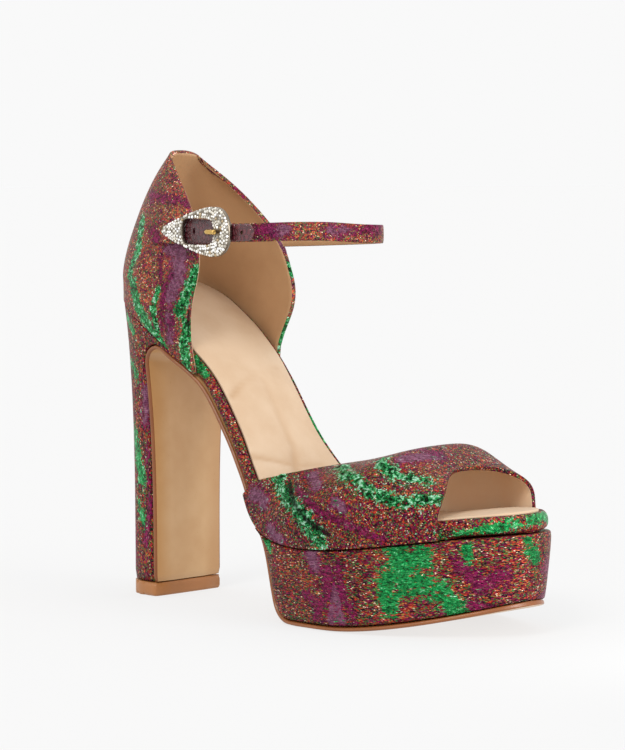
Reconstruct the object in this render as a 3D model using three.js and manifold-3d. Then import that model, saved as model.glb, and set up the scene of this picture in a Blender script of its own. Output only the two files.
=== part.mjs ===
// Block heel platform sandal, right shoe, continental size 37, in millimetres.
// +X points to the toe, +Y to the inner (medial) side, +Z up. The origin is on the floor
// under the middle of the heel's top piece.
import * as THREE from 'three';
import Module from 'manifold-3d';
import { mergeVertices } from 'three/addons/utils/BufferGeometryUtils.js';

// The last
const INSOLE_LENGTH = 240;
const BALL_WIDTH = 76.2;
const SEAT_HEIGHT = 131;
const BALL_HEIGHT = 38.6;
const SEAT_SETBACK = 15.2;

// The bottom
const STACK_THICKNESS = 7.8;
const SOCK_THICKNESS = 1.2;
const OUTSOLE_THICKNESS = 1.8;
const TOE_SPRING = 11.8;
const REAR_WALL_ANGLE = 68;
const REAR_CORNER_RADIUS = 12;
const RIM_BULGE = 2.2;
const PLATFORM_OVERHANG = 3.2;
const SOLE_OVERHANG = 0.3;
const WAIST_OVERHANG = 1.6;

// The heel
const HEEL_WIDTH = 36.6;
const HEEL_DEPTH = 21.2;
const TOP_PIECE_THICKNESS = 5.5;
const BREAST_FILLET = 7;
const HEEL_FLARE = 1;
const HEEL_LIP = 2;

// The upper
const VAMP_WALL = 1.6;
const QUARTER_WALL = 2;
const UPPER_OVERHANG = 3.3;
const VAMP_HEIGHT = 28.4;
const BACK_HEIGHT = 50.3;
const QUARTER_LENGTH = 59.5;
const QUARTER_RISE = 87;
const QUARTER_WIDTH = 26;

// The ankle strap and its buckle
const STRAP_WIDTH = 7.2;
const STRAP_THICKNESS = 1.4;
const STRAP_REACH = 111;
const STRAP_HALF_SPAN = 27;
const STRAP_HEIGHT = 148.6;
const BILLET_THICKNESS = 1;
const BILLET_LENGTH = 40;
const BILLET_INSET = 0.3;
const FIRST_HOLE = 7.5;
const HOLE_PITCH = 8.8;
const HOLE_RADIUS = 0.8;
const TAB_LENGTH = 20;
const TAB_THICKNESS = 1.2;
const BUCKLE_LENGTH = 39.6;
const BUCKLE_HEIGHT = 19.4;
const BUCKLE_THICKNESS = 2.4;
const WINDOW_LENGTH = 19;
const WINDOW_HEIGHT = 10.3;
const FRAME_BEVEL = 0.5;
const PRONG_RADIUS = 1.1;

// Pieces that touch on the real shoe stand this far apart
const GAP = 0.3;

// The tread line and the insole outline. at is a share of INSOLE_LENGTH, pitch a share of the
// steepest slope, stack a share of STACK_THICKNESS, lateral and medial shares of BALL_WIDTH.
const TREAD = [
  { at: 0, pitch: 0.25, stack: 1, lateral: 0, medial: 0 },
  { at: 0.025, pitch: 0.32, stack: 1, lateral: 0.155, medial: 0.168 },
  { at: 0.0625, pitch: 0.43, stack: 0.98, lateral: 0.258, medial: 0.275 },
  { at: 0.125, pitch: 0.566, stack: 0.95, lateral: 0.32, medial: 0.325 },
  { at: 0.1875, pitch: 0.614, stack: 0.9, lateral: 0.323, medial: 0.319 },
  { at: 0.25, pitch: 0.7, stack: 0.85, lateral: 0.3, medial: 0.294 },
  { at: 0.3333, pitch: 0.955, stack: 0.8, lateral: 0.276, medial: 0.27 },
  { at: 0.4167, pitch: 1, stack: 0.8, lateral: 0.287, medial: 0.26 },
  { at: 0.5, pitch: 0.88, stack: 0.87, lateral: 0.338, medial: 0.288 },
  { at: 0.5417, pitch: 0.747, stack: 1.13, lateral: 0.378, medial: 0.314 },
  { at: 0.5833, pitch: 0.51, stack: 1.3, lateral: 0.419, medial: 0.347 },
  { at: 0.6458, pitch: 0.156, stack: 1.07, lateral: 0.475, medial: 0.439 },
  { at: 0.7083, pitch: -0.043, stack: 1, lateral: 0.489, medial: 0.506 },
  { at: 0.7917, pitch: -0.137, stack: 1, lateral: 0.449, medial: 0.516 },
  { at: 0.875, pitch: -0.152, stack: 1, lateral: 0.346, medial: 0.45 },
  { at: 0.9375, pitch: -0.122, stack: 1, lateral: 0.232, medial: 0.35 },
  { at: 0.9792, pitch: -0.095, stack: 1, lateral: 0.12, medial: 0.225 },
  { at: 1, pitch: -0.08, stack: 1, lateral: -0.06, medial: 0.06 },
];

// Vamp sections from the throat to the peep toe. lateral, medial and crest are shares of
// INSOLE_LENGTH where the section's two feet and its crest stand over the tread, rise is the
// crest's height over the tread as a share of VAMP_HEIGHT, side its place as a share of BALL_WIDTH.
// sweep says how late the section leaves its feet for the crest, slope how far its outer side
// leans in instead of standing up, as the power of its rise.
const VAMP = [
  { at: 0, lateral: 0.524, medial: 0.6, crest: 0.697, rise: 0.83, side: 0.105, sweep: 1, slope: 0.68 },
  { at: 0.3, lateral: 0.625, medial: 0.675, crest: 0.748, rise: 0.92, side: 0.145, sweep: 1.05, slope: 0.68 },
  { at: 0.6, lateral: 0.745, medial: 0.768, crest: 0.8, rise: 0.985, side: 0.165, sweep: 1.3, slope: 0.72 },
  { at: 0.82, lateral: 0.845, medial: 0.847, crest: 0.84, rise: 0.81, side: 0.12, sweep: 2.3, slope: 0.92 },
  { at: 1, lateral: 0.908, medial: 0.898, crest: 0.866, rise: 0.64, side: 0.066, sweep: 4, slope: 1.3 },
];

// Rows of the closed back from the tread up. rise_back is a share of BACK_HEIGHT over the tread at
// the back, lean a share of QUARTER_LENGTH that the back line stands forward, lateral and medial
// the front edges as shares of QUARTER_LENGTH, rise_front a share of QUARTER_RISE over the lowest
// point of the front edge, width a share of QUARTER_WIDTH.
const QUARTER = [
  { rise_back: 0.12, lean: -0.005, lateral: 0.96, medial: 1.01, rise_front: 0.17, width: 1 },
  { rise_back: 0.23, lean: 0.03, lateral: 0.96, medial: 1.11, rise_front: 0.29, width: 1.01 },
  { rise_back: 0.33, lean: 0.065, lateral: 0.998, medial: 1.12, rise_front: 0.385, width: 1 },
  { rise_back: 0.42, lean: 0.105, lateral: 1.03, medial: 1.085, rise_front: 0.46, width: 0.985 },
  { rise_back: 0.55, lean: 0.165, lateral: 1.03, medial: 1.04, rise_front: 0.555, width: 0.96 },
  { rise_back: 0.67, lean: 0.225, lateral: 0.985, medial: 0.945, rise_front: 0.66, width: 0.9 },
  { rise_back: 0.79, lean: 0.29, lateral: 0.875, medial: 0.805, rise_front: 0.775, width: 0.78 },
  { rise_back: 0.9, lean: 0.36, lateral: 0.69, medial: 0.63, rise_front: 0.895, width: 0.58 },
  { rise_back: 1, lean: 0.43, lateral: 0.51, medial: 0.48, rise_front: 0.985, width: 0.35 },
];

// The strap's route from the buckle round the ankle to the inner quarter. forward is a share of
// STRAP_REACH, side of STRAP_HALF_SPAN, drop is millimetres below STRAP_HEIGHT in strap widths.
const STRAP_ROUTE = [
  { forward: 0.335, side: -0.956, drop: -0.08 },
  { forward: 0.45, side: -0.99, drop: -0.06 },
  { forward: 0.577, side: -1, drop: -0.04 },
  { forward: 0.703, side: -0.955, drop: -0.08 },
  { forward: 0.829, side: -0.796, drop: -0.15 },
  { forward: 0.928, side: -0.5, drop: -0.15 },
  { forward: 0.991, side: -0.093, drop: -0.02 },
  { forward: 0.996, side: 0.222, drop: 0.03 },
  { forward: 0.96, side: 0.5, drop: 0.06 },
  { forward: 0.883, side: 0.76, drop: 0.12 },
  { forward: 0.775, side: 0.919, drop: 0.2 },
  { forward: 0.65, side: 0.981, drop: 0.28 },
  { forward: 0.52, side: 0.974, drop: 0.36 },
  { forward: 0.41, side: 0.935, drop: 0.42 },
  { forward: 0.33, side: 0.885, drop: 0.46 },
];

// Helpers for curves and meshes

const lerp = (a, b, share) => a + (b - a) * share;
const clamp = (value, low, high) => Math.min(Math.max(value, low), high);
const smooth = (value, low, high) => THREE.MathUtils.smoothstep(value, low, high);
const range = (count) => Array.from({ length: count + 1 }, (_, index) => index / count);

// A cubic through the given points that never overshoots them
function monotone(xs, ys) {
  const last = xs.length - 1;
  const slopes = xs.slice(1).map((x, i) => (ys[i + 1] - ys[i]) / (x - xs[i]));
  const tangents = xs.map((_, i) => {
    if (i === 0) return slopes[0];
    if (i === last) return slopes[last - 1];
    const [a, b] = [slopes[i - 1], slopes[i]];
    return a * b <= 0 ? 0 : (2 * a * b) / (a + b);
  });
  return (x) => {
    let i = 0;
    while (i < last - 1 && x > xs[i + 1]) i += 1;
    const width = xs[i + 1] - xs[i];
    const u = clamp((x - xs[i]) / width, 0, 1);
    const [u2, u3] = [u * u, u * u * u];
    return (2 * u3 - 3 * u2 + 1) * ys[i] + (u3 - 2 * u2 + u) * width * tangents[i]
      + (3 * u2 - 2 * u3) * ys[i + 1] + (u3 - u2) * width * tangents[i + 1];
  };
}

const column = (rows, key, from = 'at') => monotone(rows.map((row) => row[from]), rows.map((row) => row[key]));

// Faces collected one by one, then merged into one closed body with its faces pointing out
class Body {
  constructor() {
    this.corners = [];
  }

  triangle(a, b, c) {
    this.corners.push(...a, ...b, ...c);
  }

  quad(a, b, c, d) {
    this.triangle(a, b, c);
    this.triangle(a, c, d);
  }

  // Quads between two rows of points of the same length
  strip(first, second) {
    for (let i = 0; i + 1 < first.length; i += 1) this.quad(first[i], first[i + 1], second[i + 1], second[i]);
  }

  grid(rows) {
    for (let i = 0; i + 1 < rows.length; i += 1) this.strip(rows[i], rows[i + 1]);
  }

  geometry() {
    const soup = new THREE.BufferGeometry();
    soup.setAttribute('position', new THREE.Float32BufferAttribute(this.corners, 3));
    return closed(soup);
  }
}

// Shared corners merged, collapsed faces dropped, and the whole turned outwards
function closed(geometry) {
  geometry.deleteAttribute('normal');
  geometry.deleteAttribute('uv');
  const merged = mergeVertices(geometry, 1e-4);
  const [position, faces] = [merged.getAttribute('position'), merged.getIndex().array];
  const corner = (index) => new THREE.Vector3().fromBufferAttribute(position, index);
  const kept = [];
  let volume = 0;
  for (let i = 0; i < faces.length; i += 3) {
    const [a, b, c] = faces.slice(i, i + 3);
    if (a === b || b === c || c === a) continue;
    kept.push([a, b, c]);
    volume += corner(a).dot(corner(b).cross(corner(c)));
  }
  merged.setIndex(kept.flatMap(([a, b, c]) => (volume > 0 ? [a, b, c] : [a, c, b])));
  merged.computeVertexNormals();
  return merged;
}

// A wall between an outer and an inner grid of points, closed along its four edges
function wall(outer, inner) {
  const body = new Body();
  body.grid(outer);
  body.grid(inner.map((row) => [...row].reverse()));
  body.strip(inner[0], outer[0]);
  body.strip(outer[outer.length - 1], inner[inner.length - 1]);
  body.strip(outer.map((row) => row[0]), inner.map((row) => row[0]));
  const end = outer[0].length - 1;
  body.strip(inner.map((row) => row[end]), outer.map((row) => row[end]));
  return body.geometry();
}

// The same grid moved inwards along its own normals by the wall's thickness
function offsetGrid(rows, thickness) {
  const at = (i, j) => new THREE.Vector3(...rows[clamp(i, 0, rows.length - 1)][clamp(j, 0, rows[0].length - 1)]);
  return rows.map((row, i) => row.map((point, j) => {
    const along = at(i + 1, j).sub(at(i - 1, j));
    const across = at(i, j + 1).sub(at(i, j - 1));
    const normal = along.cross(across).normalize();
    return new THREE.Vector3(...point).addScaledVector(normal, thickness).toArray();
  }));
}

// A body through closed sections that all have the same number of points, each end closed by
// strips between its two halves
function loft(sections) {
  const body = new Body();
  body.grid(sections.map((section) => [...section, section[0]]));
  const half = sections[0].length / 2;
  const cap = (section) => body.strip(section.slice(0, half), section.slice(half).reverse());
  cap([...sections[0]].reverse());
  cap(sections[sections.length - 1]);
  return body.geometry();
}

// The tread line: slopes summed along the insole, steep enough to drop from seat to ball

const TREAD_STEPS = 480;
const pitchAt = column(TREAD, 'pitch');
const stackAt = column(TREAD, 'stack');

function treadLine(steepest) {
  const step = INSOLE_LENGTH / TREAD_STEPS;
  const line = [{ x: 0, z: 0, slope: steepest * pitchAt(0) }];
  for (let i = 1; i <= TREAD_STEPS; i += 1) {
    const slope = steepest * pitchAt(i / TREAD_STEPS);
    const [before, middle] = [line[i - 1], (line[i - 1].slope + slope) / 2];
    line.push({ x: before.x + step * Math.cos(middle), z: before.z - step * Math.sin(middle), slope });
  }
  return line;
}

function solve(test, low, high) {
  for (let i = 0; i < 60; i += 1) {
    const middle = (low + high) / 2;
    if (test(middle)) high = middle;
    else low = middle;
  }
  return (low + high) / 2;
}

const fallOf = (line) => -Math.min(...line.map((point) => point.z));
const steepestSlope = solve((slope) => fallOf(treadLine(slope)) > SEAT_HEIGHT - BALL_HEIGHT, 0.1, 1.5);
const TREAD_POINTS = treadLine(steepestSlope);

// The point at a length along the insole and a depth below its surface
function treadAt(length, depth = 0) {
  const place = clamp(length / INSOLE_LENGTH, 0, 1) * TREAD_STEPS;
  const index = Math.min(Math.floor(place), TREAD_STEPS - 1);
  const [a, b, share] = [TREAD_POINTS[index], TREAD_POINTS[index + 1], place - index];
  const slope = lerp(a.slope, b.slope, share);
  const beyond = length - clamp(length, 0, INSOLE_LENGTH);
  return {
    x: lerp(a.x, b.x, share) - SEAT_SETBACK + beyond * Math.cos(slope) - depth * Math.sin(slope),
    z: lerp(a.z, b.z, share) + SEAT_HEIGHT - beyond * Math.sin(slope) - depth * Math.cos(slope),
    slope,
  };
}

const stackDepth = (length) => STACK_THICKNESS * stackAt(clamp(length / INSOLE_LENGTH, 0, 1));
const lengthAtX = (x, depthAt) => solve((length) => treadAt(length, depthAt(length)).x > x, -20, INSOLE_LENGTH + 20);

// The insole outline as a closed walk: turn 0 to 1 is the outer side from heel to toe, 1 to 2 the
// inner side back. A station's length follows a cosine, so both ends come out round.

const stationOf = (share) => Math.acos(1 - 2 * share) / Math.PI;
const shareOf = (station) => (1 - Math.cos(Math.PI * station)) / 2;
const STATIONS = TREAD.map((row) => ({ ...row, station: stationOf(row.at) }));
const lateralAt = column(STATIONS, 'lateral', 'station');
const medialAt = column(STATIONS, 'medial', 'station');

function outlinePoint(turn) {
  const wrapped = (turn + 2) % 2;
  const station = wrapped <= 1 ? wrapped : 2 - wrapped;
  const width = wrapped <= 1 ? -lateralAt(station) : medialAt(station);
  return { length: INSOLE_LENGTH * shareOf(station), side: BALL_WIDTH * width };
}

const TURN_STEP = 0.004;

function offsetOutline(turn, out) {
  const [before, here, after] = [-TURN_STEP, 0, TURN_STEP].map((step) => outlinePoint(turn + step));
  const tangent = new THREE.Vector2(after.length - before.length, after.side - before.side).normalize();
  return { length: here.length + tangent.y * out, side: here.side - tangent.x * out };
}

// A point on or below the insole: turn round the outline, out beyond it, depth below the surface
function onTread(turn, out, depth) {
  const { length, side } = offsetOutline(turn, out);
  const { x, z } = treadAt(length, depth);
  return [x, side, z];
}

const lengthOfTurn = (turn) => INSOLE_LENGTH * shareOf(turn <= 1 ? turn : 2 - turn);
const turnOfLength = (length) => stationOf(clamp(length / INSOLE_LENGTH, 0, 1));

// Layers that follow the whole outline, from rows of depth and out

const OUTLINE_POINTS = 104;

function layer(rings) {
  const turns = range(OUTLINE_POINTS).slice(0, -1).map((share) => share * 2);
  const sections = rings.map(({ depth, out }) => turns.map((turn) => {
    const length = lengthOfTurn(turn);
    return onTread(turn, out(length), depth(length));
  }));
  const body = new Body();
  body.grid(sections.map((section) => [...section, section[0]]));
  const half = OUTLINE_POINTS / 2;
  const cap = (section) => {
    const lateral = section.slice(0, half + 1);
    const medial = [section[0], ...section.slice(half).reverse()];
    return [lateral, medial];
  };
  const [topLateral, topMedial] = cap(sections[0]);
  body.strip(topMedial, topLateral);
  const [lowLateral, lowMedial] = cap(sections[sections.length - 1]);
  body.strip(lowLateral, lowMedial);
  return body.geometry();
}

const SOCK_INSET = 0.9;
const SOCK_ROLL = 0.7;

function sock() {
  return layer([
    { depth: () => 0, out: () => -SOCK_INSET - SOCK_ROLL },
    { depth: () => SOCK_ROLL / 2, out: () => -SOCK_INSET },
    { depth: () => SOCK_THICKNESS, out: () => -SOCK_INSET },
  ]);
}

// Where quarters and vamp cover the rim it is drawn in, so that their wall fits round it. The
// closed back also tucks in towards its foot.
const QUARTER_FOOT = 0.288;
const QUARTER_FRONT = 0.26;
const VAMP_FOOT = VAMP[0].lateral;
const PEEP_FOOT = VAMP[VAMP.length - 1].lateral;
const UPPER_CLEARANCE = 1.8 * GAP;
const COVERED_BULGE = UPPER_OVERHANG - QUARTER_WALL - UPPER_CLEARANCE;
const FOOT_TUCK = 1.9;
const TUCK_LEFT = 0.3;
const TUCK_FROM = 0.1;
const RIM_FADE = 0.03;
const PEEP_FADE = 0.02;
const SEAT_INSET = 0.6;

const footTuck = (length) => FOOT_TUCK * lerp(1, TUCK_LEFT, smooth(length / INSOLE_LENGTH, TUCK_FROM, QUARTER_FRONT));

const BOARD_RIM = [
  { depth: 0.06, bulge: 0.15 },
  { depth: 0.2, bulge: 0.75 },
  { depth: 0.5, bulge: 1 },
  { depth: 0.8, bulge: 0.85 },
  { depth: 1, bulge: 0.2 },
];

function rimOut({ depth, bulge }, length) {
  const share = length / INSOLE_LENGTH;
  const ahead = smooth(share, QUARTER_FOOT, QUARTER_FOOT + RIM_FADE);
  const bare = ahead * (1 - smooth(share, VAMP_FOOT - RIM_FADE, VAMP_FOOT));
  const shown = bare + smooth(share, PEEP_FOOT, PEEP_FOOT + PEEP_FADE);
  const tucked = COVERED_BULGE - depth * footTuck(length) * (1 - ahead);
  return lerp(Math.min(bulge * COVERED_BULGE, tucked), bulge * RIM_BULGE, shown);
}

function insoleBoard() {
  const seat = { depth: () => SOCK_THICKNESS + GAP, out: () => -SEAT_INSET };
  const rings = BOARD_RIM.map((row) => ({
    depth: (length) => row.depth * stackDepth(length),
    out: (length) => rimOut(row, length),
  }));
  return layer([seat, ...rings]);
}

// The underside: the outer face of the outsole in side view, from the breast over the fillet,
// along the waist, down the platform's rear wall and along the floor to the toe

const breastX = HEEL_DEPTH / 2;
const breastFoot = TOP_PIECE_THICKNESS + GAP;
const [LIP_FROM, LIP_TO] = [0.2, 0.33];
const SOLE_CLEARANCE = 1.4 * GAP;
const lipDepth = (length) => HEEL_LIP * (1 - smooth(length / INSOLE_LENGTH, LIP_FROM, LIP_TO));
const soleDepth = (length) => stackDepth(length) + lipDepth(length) + SOLE_CLEARANCE + OUTSOLE_THICKNESS;
const filletDepth = (length) => soleDepth(length) + BREAST_FILLET;
const filletLength = lengthAtX(breastX + BREAST_FILLET, filletDepth);
const filletCentre = treadAt(filletLength, filletDepth(filletLength));
const FLAT_FROM = 0.643;
const FLAT_TO = 0.729;
const LEAVES_WAIST = 0.568;
const FOREFOOT_STATIONS = 26;
const SPRING_CURVE = 1.6;
const flatStart = treadAt(FLAT_FROM * INSOLE_LENGTH).x;
const springStart = treadAt(FLAT_TO * INSOLE_LENGTH).x;
const toeTip = treadAt(INSOLE_LENGTH, STACK_THICKNESS).x;
const springAt = (x) => TOE_SPRING * Math.max((x - springStart) / (toeTip - springStart), 0) ** SPRING_CURVE;

function breastLine() {
  return range(8).map((share) => ({ x: breastX, z: lerp(breastFoot, filletCentre.z, share) }));
}

function filletLine() {
  const end = Math.PI / 2 - filletCentre.slope;
  return range(8).slice(1).map((share) => {
    const angle = lerp(Math.PI, end, share);
    return {
      x: filletCentre.x + BREAST_FILLET * Math.cos(angle),
      z: filletCentre.z + BREAST_FILLET * Math.sin(angle),
    };
  });
}

function waistLine() {
  const lengths = range(16).slice(1).map((share) => lerp(filletLength, LEAVES_WAIST * INSOLE_LENGTH, share));
  return lengths.map((length) => treadAt(length, soleDepth(length)));
}

function rearWallLine(waist) {
  const [before, start] = waist.slice(-2).map((point) => new THREE.Vector2(point.x, point.z));
  const angle = THREE.MathUtils.degToRad(REAR_WALL_ANGLE);
  const end = new THREE.Vector2(
    flatStart - REAR_CORNER_RADIUS * Math.sin(angle),
    REAR_CORNER_RADIUS * (1 - Math.cos(angle)),
  );
  const reach = start.distanceTo(end) / 3;
  const leave = start.clone().add(start.clone().sub(before).setLength(reach));
  const arrive = end.clone().add(new THREE.Vector2(-Math.cos(angle), Math.sin(angle)).setLength(reach));
  const fall = new THREE.CubicBezierCurve(start, leave, arrive, end).getPoints(8).slice(1);
  const corner = range(8).slice(1).map((share) => {
    const turn = angle * (1 - share);
    return {
      x: flatStart - REAR_CORNER_RADIUS * Math.sin(turn),
      y: REAR_CORNER_RADIUS * (1 - Math.cos(turn)),
    };
  });
  return [...fall, ...corner].map((point) => ({ x: point.x, z: point.y }));
}

// Each point with its normal into the shoe
function withNormals(line) {
  return line.map((point, i) => {
    const [a, b] = [line[Math.max(i - 1, 0)], line[Math.min(i + 1, line.length - 1)]];
    const length = Math.hypot(b.x - a.x, b.z - a.z);
    return { ...point, nx: -(b.z - a.z) / length, nz: (b.x - a.x) / length };
  });
}

const waistPoints = waistLine();
const forepartLine = range(24).map((share) => {
  const x = lerp(flatStart, toeTip + PLATFORM_OVERHANG, share);
  return { x, z: springAt(x) };
});
const underside = withNormals([
  ...breastLine(), ...filletLine(), ...waistPoints, ...rearWallLine(waistPoints), ...forepartLine.slice(1),
]);
const breastCount = breastLine().length;
const filletEnd = breastCount + filletLine().length - 1;

const raised = (by) => underside.map((point) => ({ x: point.x + point.nx * by, z: point.z + point.nz * by }));

// The height of a face that lies above the underside, at a place along the shoe
function heightOver(by) {
  const line = raised(by);
  return (x) => {
    let i = breastCount - 1;
    while (i < line.length - 2 && line[i + 1].x < x) i += 1;
    const [a, b] = [line[i], line[i + 1]];
    return lerp(a.z, b.z, (x - a.x) / (b.x - a.x));
  };
}

// Stations along the forefoot: the corners of a raised underside line as far as the floor, then
// even turns to the toe
function forefootTurns(by, from, depthAt) {
  const flatTurn = turnOfLength(lengthAtX(flatStart, depthAt));
  const rear = raised(by).filter(({ x }) => x > from + 0.5 && x < flatStart - 0.5);
  return [
    ...rear.map(({ x }) => turnOfLength(lengthAtX(x, depthAt))),
    ...range(FOREFOOT_STATIONS).map((share) => lerp(flatTurn, 1, share)),
  ];
}

const soleHeight = heightOver(0);
const soleInside = heightOver(OUTSOLE_THICKNESS);
const solePlay = heightOver(OUTSOLE_THICKNESS + GAP);

// The heel block: a D in plan at the foot, the insole outline at the top

const heelFront = breastX - OUTSOLE_THICKNESS - GAP;
const heelTopDepth = (length) => stackDepth(length) + GAP;
const breastLength = lengthAtX(heelFront, heelTopDepth);
const breastStation = turnOfLength(breastLength);
const WEDGE_EDGE = 0.6;
const lipEnd = solve((length) => lipDepth(length) < GAP + WEDGE_EDGE, breastLength, LIP_TO * INSOLE_LENGTH);
const D_SQUARENESS = 0.75;
const HEEL_SPREAD = 3.4;

function heelColumn(station, inner) {
  const turn = inner ? 2 - station : station;
  const length = lengthOfTurn(station);
  const out = lerp(HEEL_FLARE, WAIST_OVERHANG, smooth(length, breastLength, lipEnd));
  const top = onTread(turn, out, heelTopDepth(length));
  const quarter = clamp(station / breastStation, 0, 1) * Math.PI / 2;
  const backX = -HEEL_DEPTH / 2;
  const halfWidth = HEEL_WIDTH / 2 * Math.sin(quarter) ** D_SQUARENESS;
  const footX = station < breastStation
    ? heelFront - (heelFront - backX) * Math.cos(quarter) ** D_SQUARENESS
    : top[0];
  return { top, foot: [footX, inner ? halfWidth : -halfWidth, breastFoot], out, turn, length };
}

function heelPoint(columnOf, z) {
  const share = clamp((z - columnOf.foot[2]) / (columnOf.top[2] - columnOf.foot[2]), 0, 1);
  return [
    lerp(columnOf.foot[0], columnOf.top[0], share ** HEEL_SPREAD),
    lerp(columnOf.foot[1], columnOf.top[1], share ** HEEL_SPREAD),
    z,
  ];
}

// The heel's half width at a place on its front, for the leather that covers it
function heelSide(x, z, inner) {
  const station = x <= heelFront ? breastStation : turnOfLength(lengthAtX(x, heelTopDepth));
  return heelPoint(heelColumn(station, inner), z)[1];
}

function heelBlock() {
  const HIGH_ROWS = 4;
  const LOW_ROWS = 6;
  const edge = 0.9;
  const breastTop = filletCentre.z;
  const backStations = range(12).map((share) => share * breastStation);
  const arch = raised(OUTSOLE_THICKNESS + GAP).slice(breastCount, filletEnd + 1);
  const archStations = arch.map(({ x }) => turnOfLength(lengthAtX(x, heelTopDepth)));
  const archEnd = archStations[archStations.length - 1];
  const beyondArch = range(5).slice(1).map((share) => lerp(archEnd, turnOfLength(lipEnd), share));
  const lipStations = [...archStations, ...beyondArch];

  const columnRows = (station, inner) => {
    const here = heelColumn(station, inner);
    const topZ = here.top[2];
    const behind = station <= breastStation;
    const share = (breastTop - breastFoot) / (heelColumn(breastStation, inner).top[2] - breastFoot);
    const middle = behind ? lerp(breastFoot, topZ, share) : solePlay(here.top[0]);
    const lowRow = (part) => heelPoint(here, lerp(breastFoot, middle, part));
    const low = behind ? range(LOW_ROWS).slice(0, -1).map(lowRow) : [];
    const chamfer = Math.min(edge, (topZ - middle) / 3);
    const high = range(HIGH_ROWS).map((part) => heelPoint(here, lerp(middle, topZ - chamfer, part)));
    const crown = onTread(here.turn, here.out - chamfer, heelTopDepth(here.length));
    return { low, high: [...high, crown] };
  };

  const lateral = [...backStations, ...lipStations].map((station) => columnRows(station, false));
  const medial = [...backStations, ...lipStations].map((station) => columnRows(station, true));
  const back = backStations.length;
  const whole = (rows) => [...rows.low, ...rows.high];
  const body = new Body();
  const ring = [...medial.slice(1, back).reverse(), ...lateral.slice(0, back)].map(whole);
  body.grid(ring);
  body.grid(lateral.slice(back - 1).map((rows) => rows.high));
  body.grid(medial.slice(back - 1).reverse().map((rows) => rows.high));
  const breastRows = (sideOf) => [...sideOf[back - 1].low, sideOf[back - 1].high[0]];
  body.strip(breastRows(lateral), breastRows(medial));
  const footRow = (sideOf) => sideOf.slice(0, back).map((rows) => rows.low[0]);
  body.strip(footRow(lateral), footRow(medial));
  const lipRow = (sideOf) => sideOf.slice(back - 1).map((rows) => rows.high[0]);
  body.strip(lipRow(lateral), lipRow(medial));
  const topRow = (sideOf) => sideOf.map((rows) => rows.high[HIGH_ROWS + 1]);
  body.strip(topRow(medial), topRow(lateral));
  body.strip(lateral[lateral.length - 1].high, medial[medial.length - 1].high);
  return body.geometry();
}

// The top piece: the heel's foot, a little larger, with a flat underside
function topPiece() {
  const proud = 0.3;
  const half = HEEL_WIDTH / 2 + proud;
  const front = breastX;
  const back = -HEEL_DEPTH / 2 - proud;
  const plan = range(24).map((share) => {
    const angle = Math.PI * share;
    const side = Math.cos(angle);
    return new THREE.Vector2(
      front - (front - back) * Math.sin(angle) ** D_SQUARENESS,
      half * Math.sign(side) * Math.abs(side) ** D_SQUARENESS,
    );
  });
  const settings = { depth: TOP_PIECE_THICKNESS, bevelEnabled: false };
  return closed(new THREE.ExtrudeGeometry(new THREE.Shape(plan), settings));
}

// The outsole: one strip under the whole shoe, as thick everywhere

const OVERHANG_FADES = [0.38, 0.54];
const overhangFade = (length) => smooth(length / INSOLE_LENGTH, ...OVERHANG_FADES);
const soleOverhang = (length) => lerp(WAIST_OVERHANG, SOLE_OVERHANG, overhangFade(length));

function outsole() {
  const inside = raised(OUTSOLE_THICKNESS);
  const rear = range(filletEnd).map((_, i) => {
    const [outer, inner] = [underside[i], inside[i]];
    const [lateral, medial] = [false, true].map((side) => heelSide(outer.x, outer.z, side));
    return [
      [outer.x, lateral, outer.z], [inner.x, lateral, inner.z], [inner.x, medial, inner.z], [outer.x, medial, outer.z],
    ];
  });
  const turns = forefootTurns(0, underside[filletEnd].x, soleDepth);
  const front = turns.map((turn) => {
    const place = (walk, height, toward) => {
      const out = soleOverhang(lengthOfTurn(turn));
      const [x, side] = onTread(walk, out, soleDepth(lengthOfTurn(turn)));
      const slope = (soleHeight(x + 0.5) - soleHeight(x - 0.5));
      const shift = toward * OUTSOLE_THICKNESS * slope / Math.hypot(slope, 1);
      return [x - shift, side, height(x - shift)];
    };
    return [
      place(turn, soleHeight, 0), place(turn, soleInside, 1),
      place(2 - turn, soleInside, 1), place(2 - turn, soleHeight, 0),
    ];
  });
  return loft([...rear, ...front]);
}

// The platform: a block under the forefoot that thins to a wedge under the waist

const PLATFORM_ROWS = [
  { up: 0, reach: 0 },
  { up: 0.07, reach: 0.2 },
  { up: 0.5, reach: 0.62 },
  { up: 0.93, reach: 1 },
  { up: 1, reach: 0.75 },
];

function platform() {
  const topDepth = (length) => stackDepth(length) + GAP;
  const thickness = (length) => {
    const { x, z } = treadAt(length, topDepth(length));
    return z - solePlay(x);
  };
  const start = solve((length) => thickness(length) > WEDGE_EDGE, 0.5 * INSOLE_LENGTH, FLAT_FROM * INSOLE_LENGTH);
  const from = treadAt(start, topDepth(start)).x;
  const turns = [turnOfLength(start), ...forefootTurns(OUTSOLE_THICKNESS + GAP, from, topDepth)];
  const side = (turn, walk) => PLATFORM_ROWS.map(({ up, reach }) => {
    const out = lerp(soleOverhang(lengthOfTurn(turn)), PLATFORM_OVERHANG, reach);
    const { length, side: y } = offsetOutline(walk, out);
    const { x, z } = treadAt(length, topDepth(length));
    return [x, y, lerp(solePlay(x), z, up)];
  });
  return loft(turns.map((turn) => [...side(turn, turn), ...side(turn, 2 - turn).reverse()]));
}

// The vamp: sections from foot to foot over the crest, open at the throat and at the toe

const VAMP_STEPS = 18;
const VAMP_SIDES = 24;
const VAMP_SIDE_DEPTHS = [1, 0.5, 0];
const CROWN_SIDE = 0.8;
const CROWN_RISE = 0.68;

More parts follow.
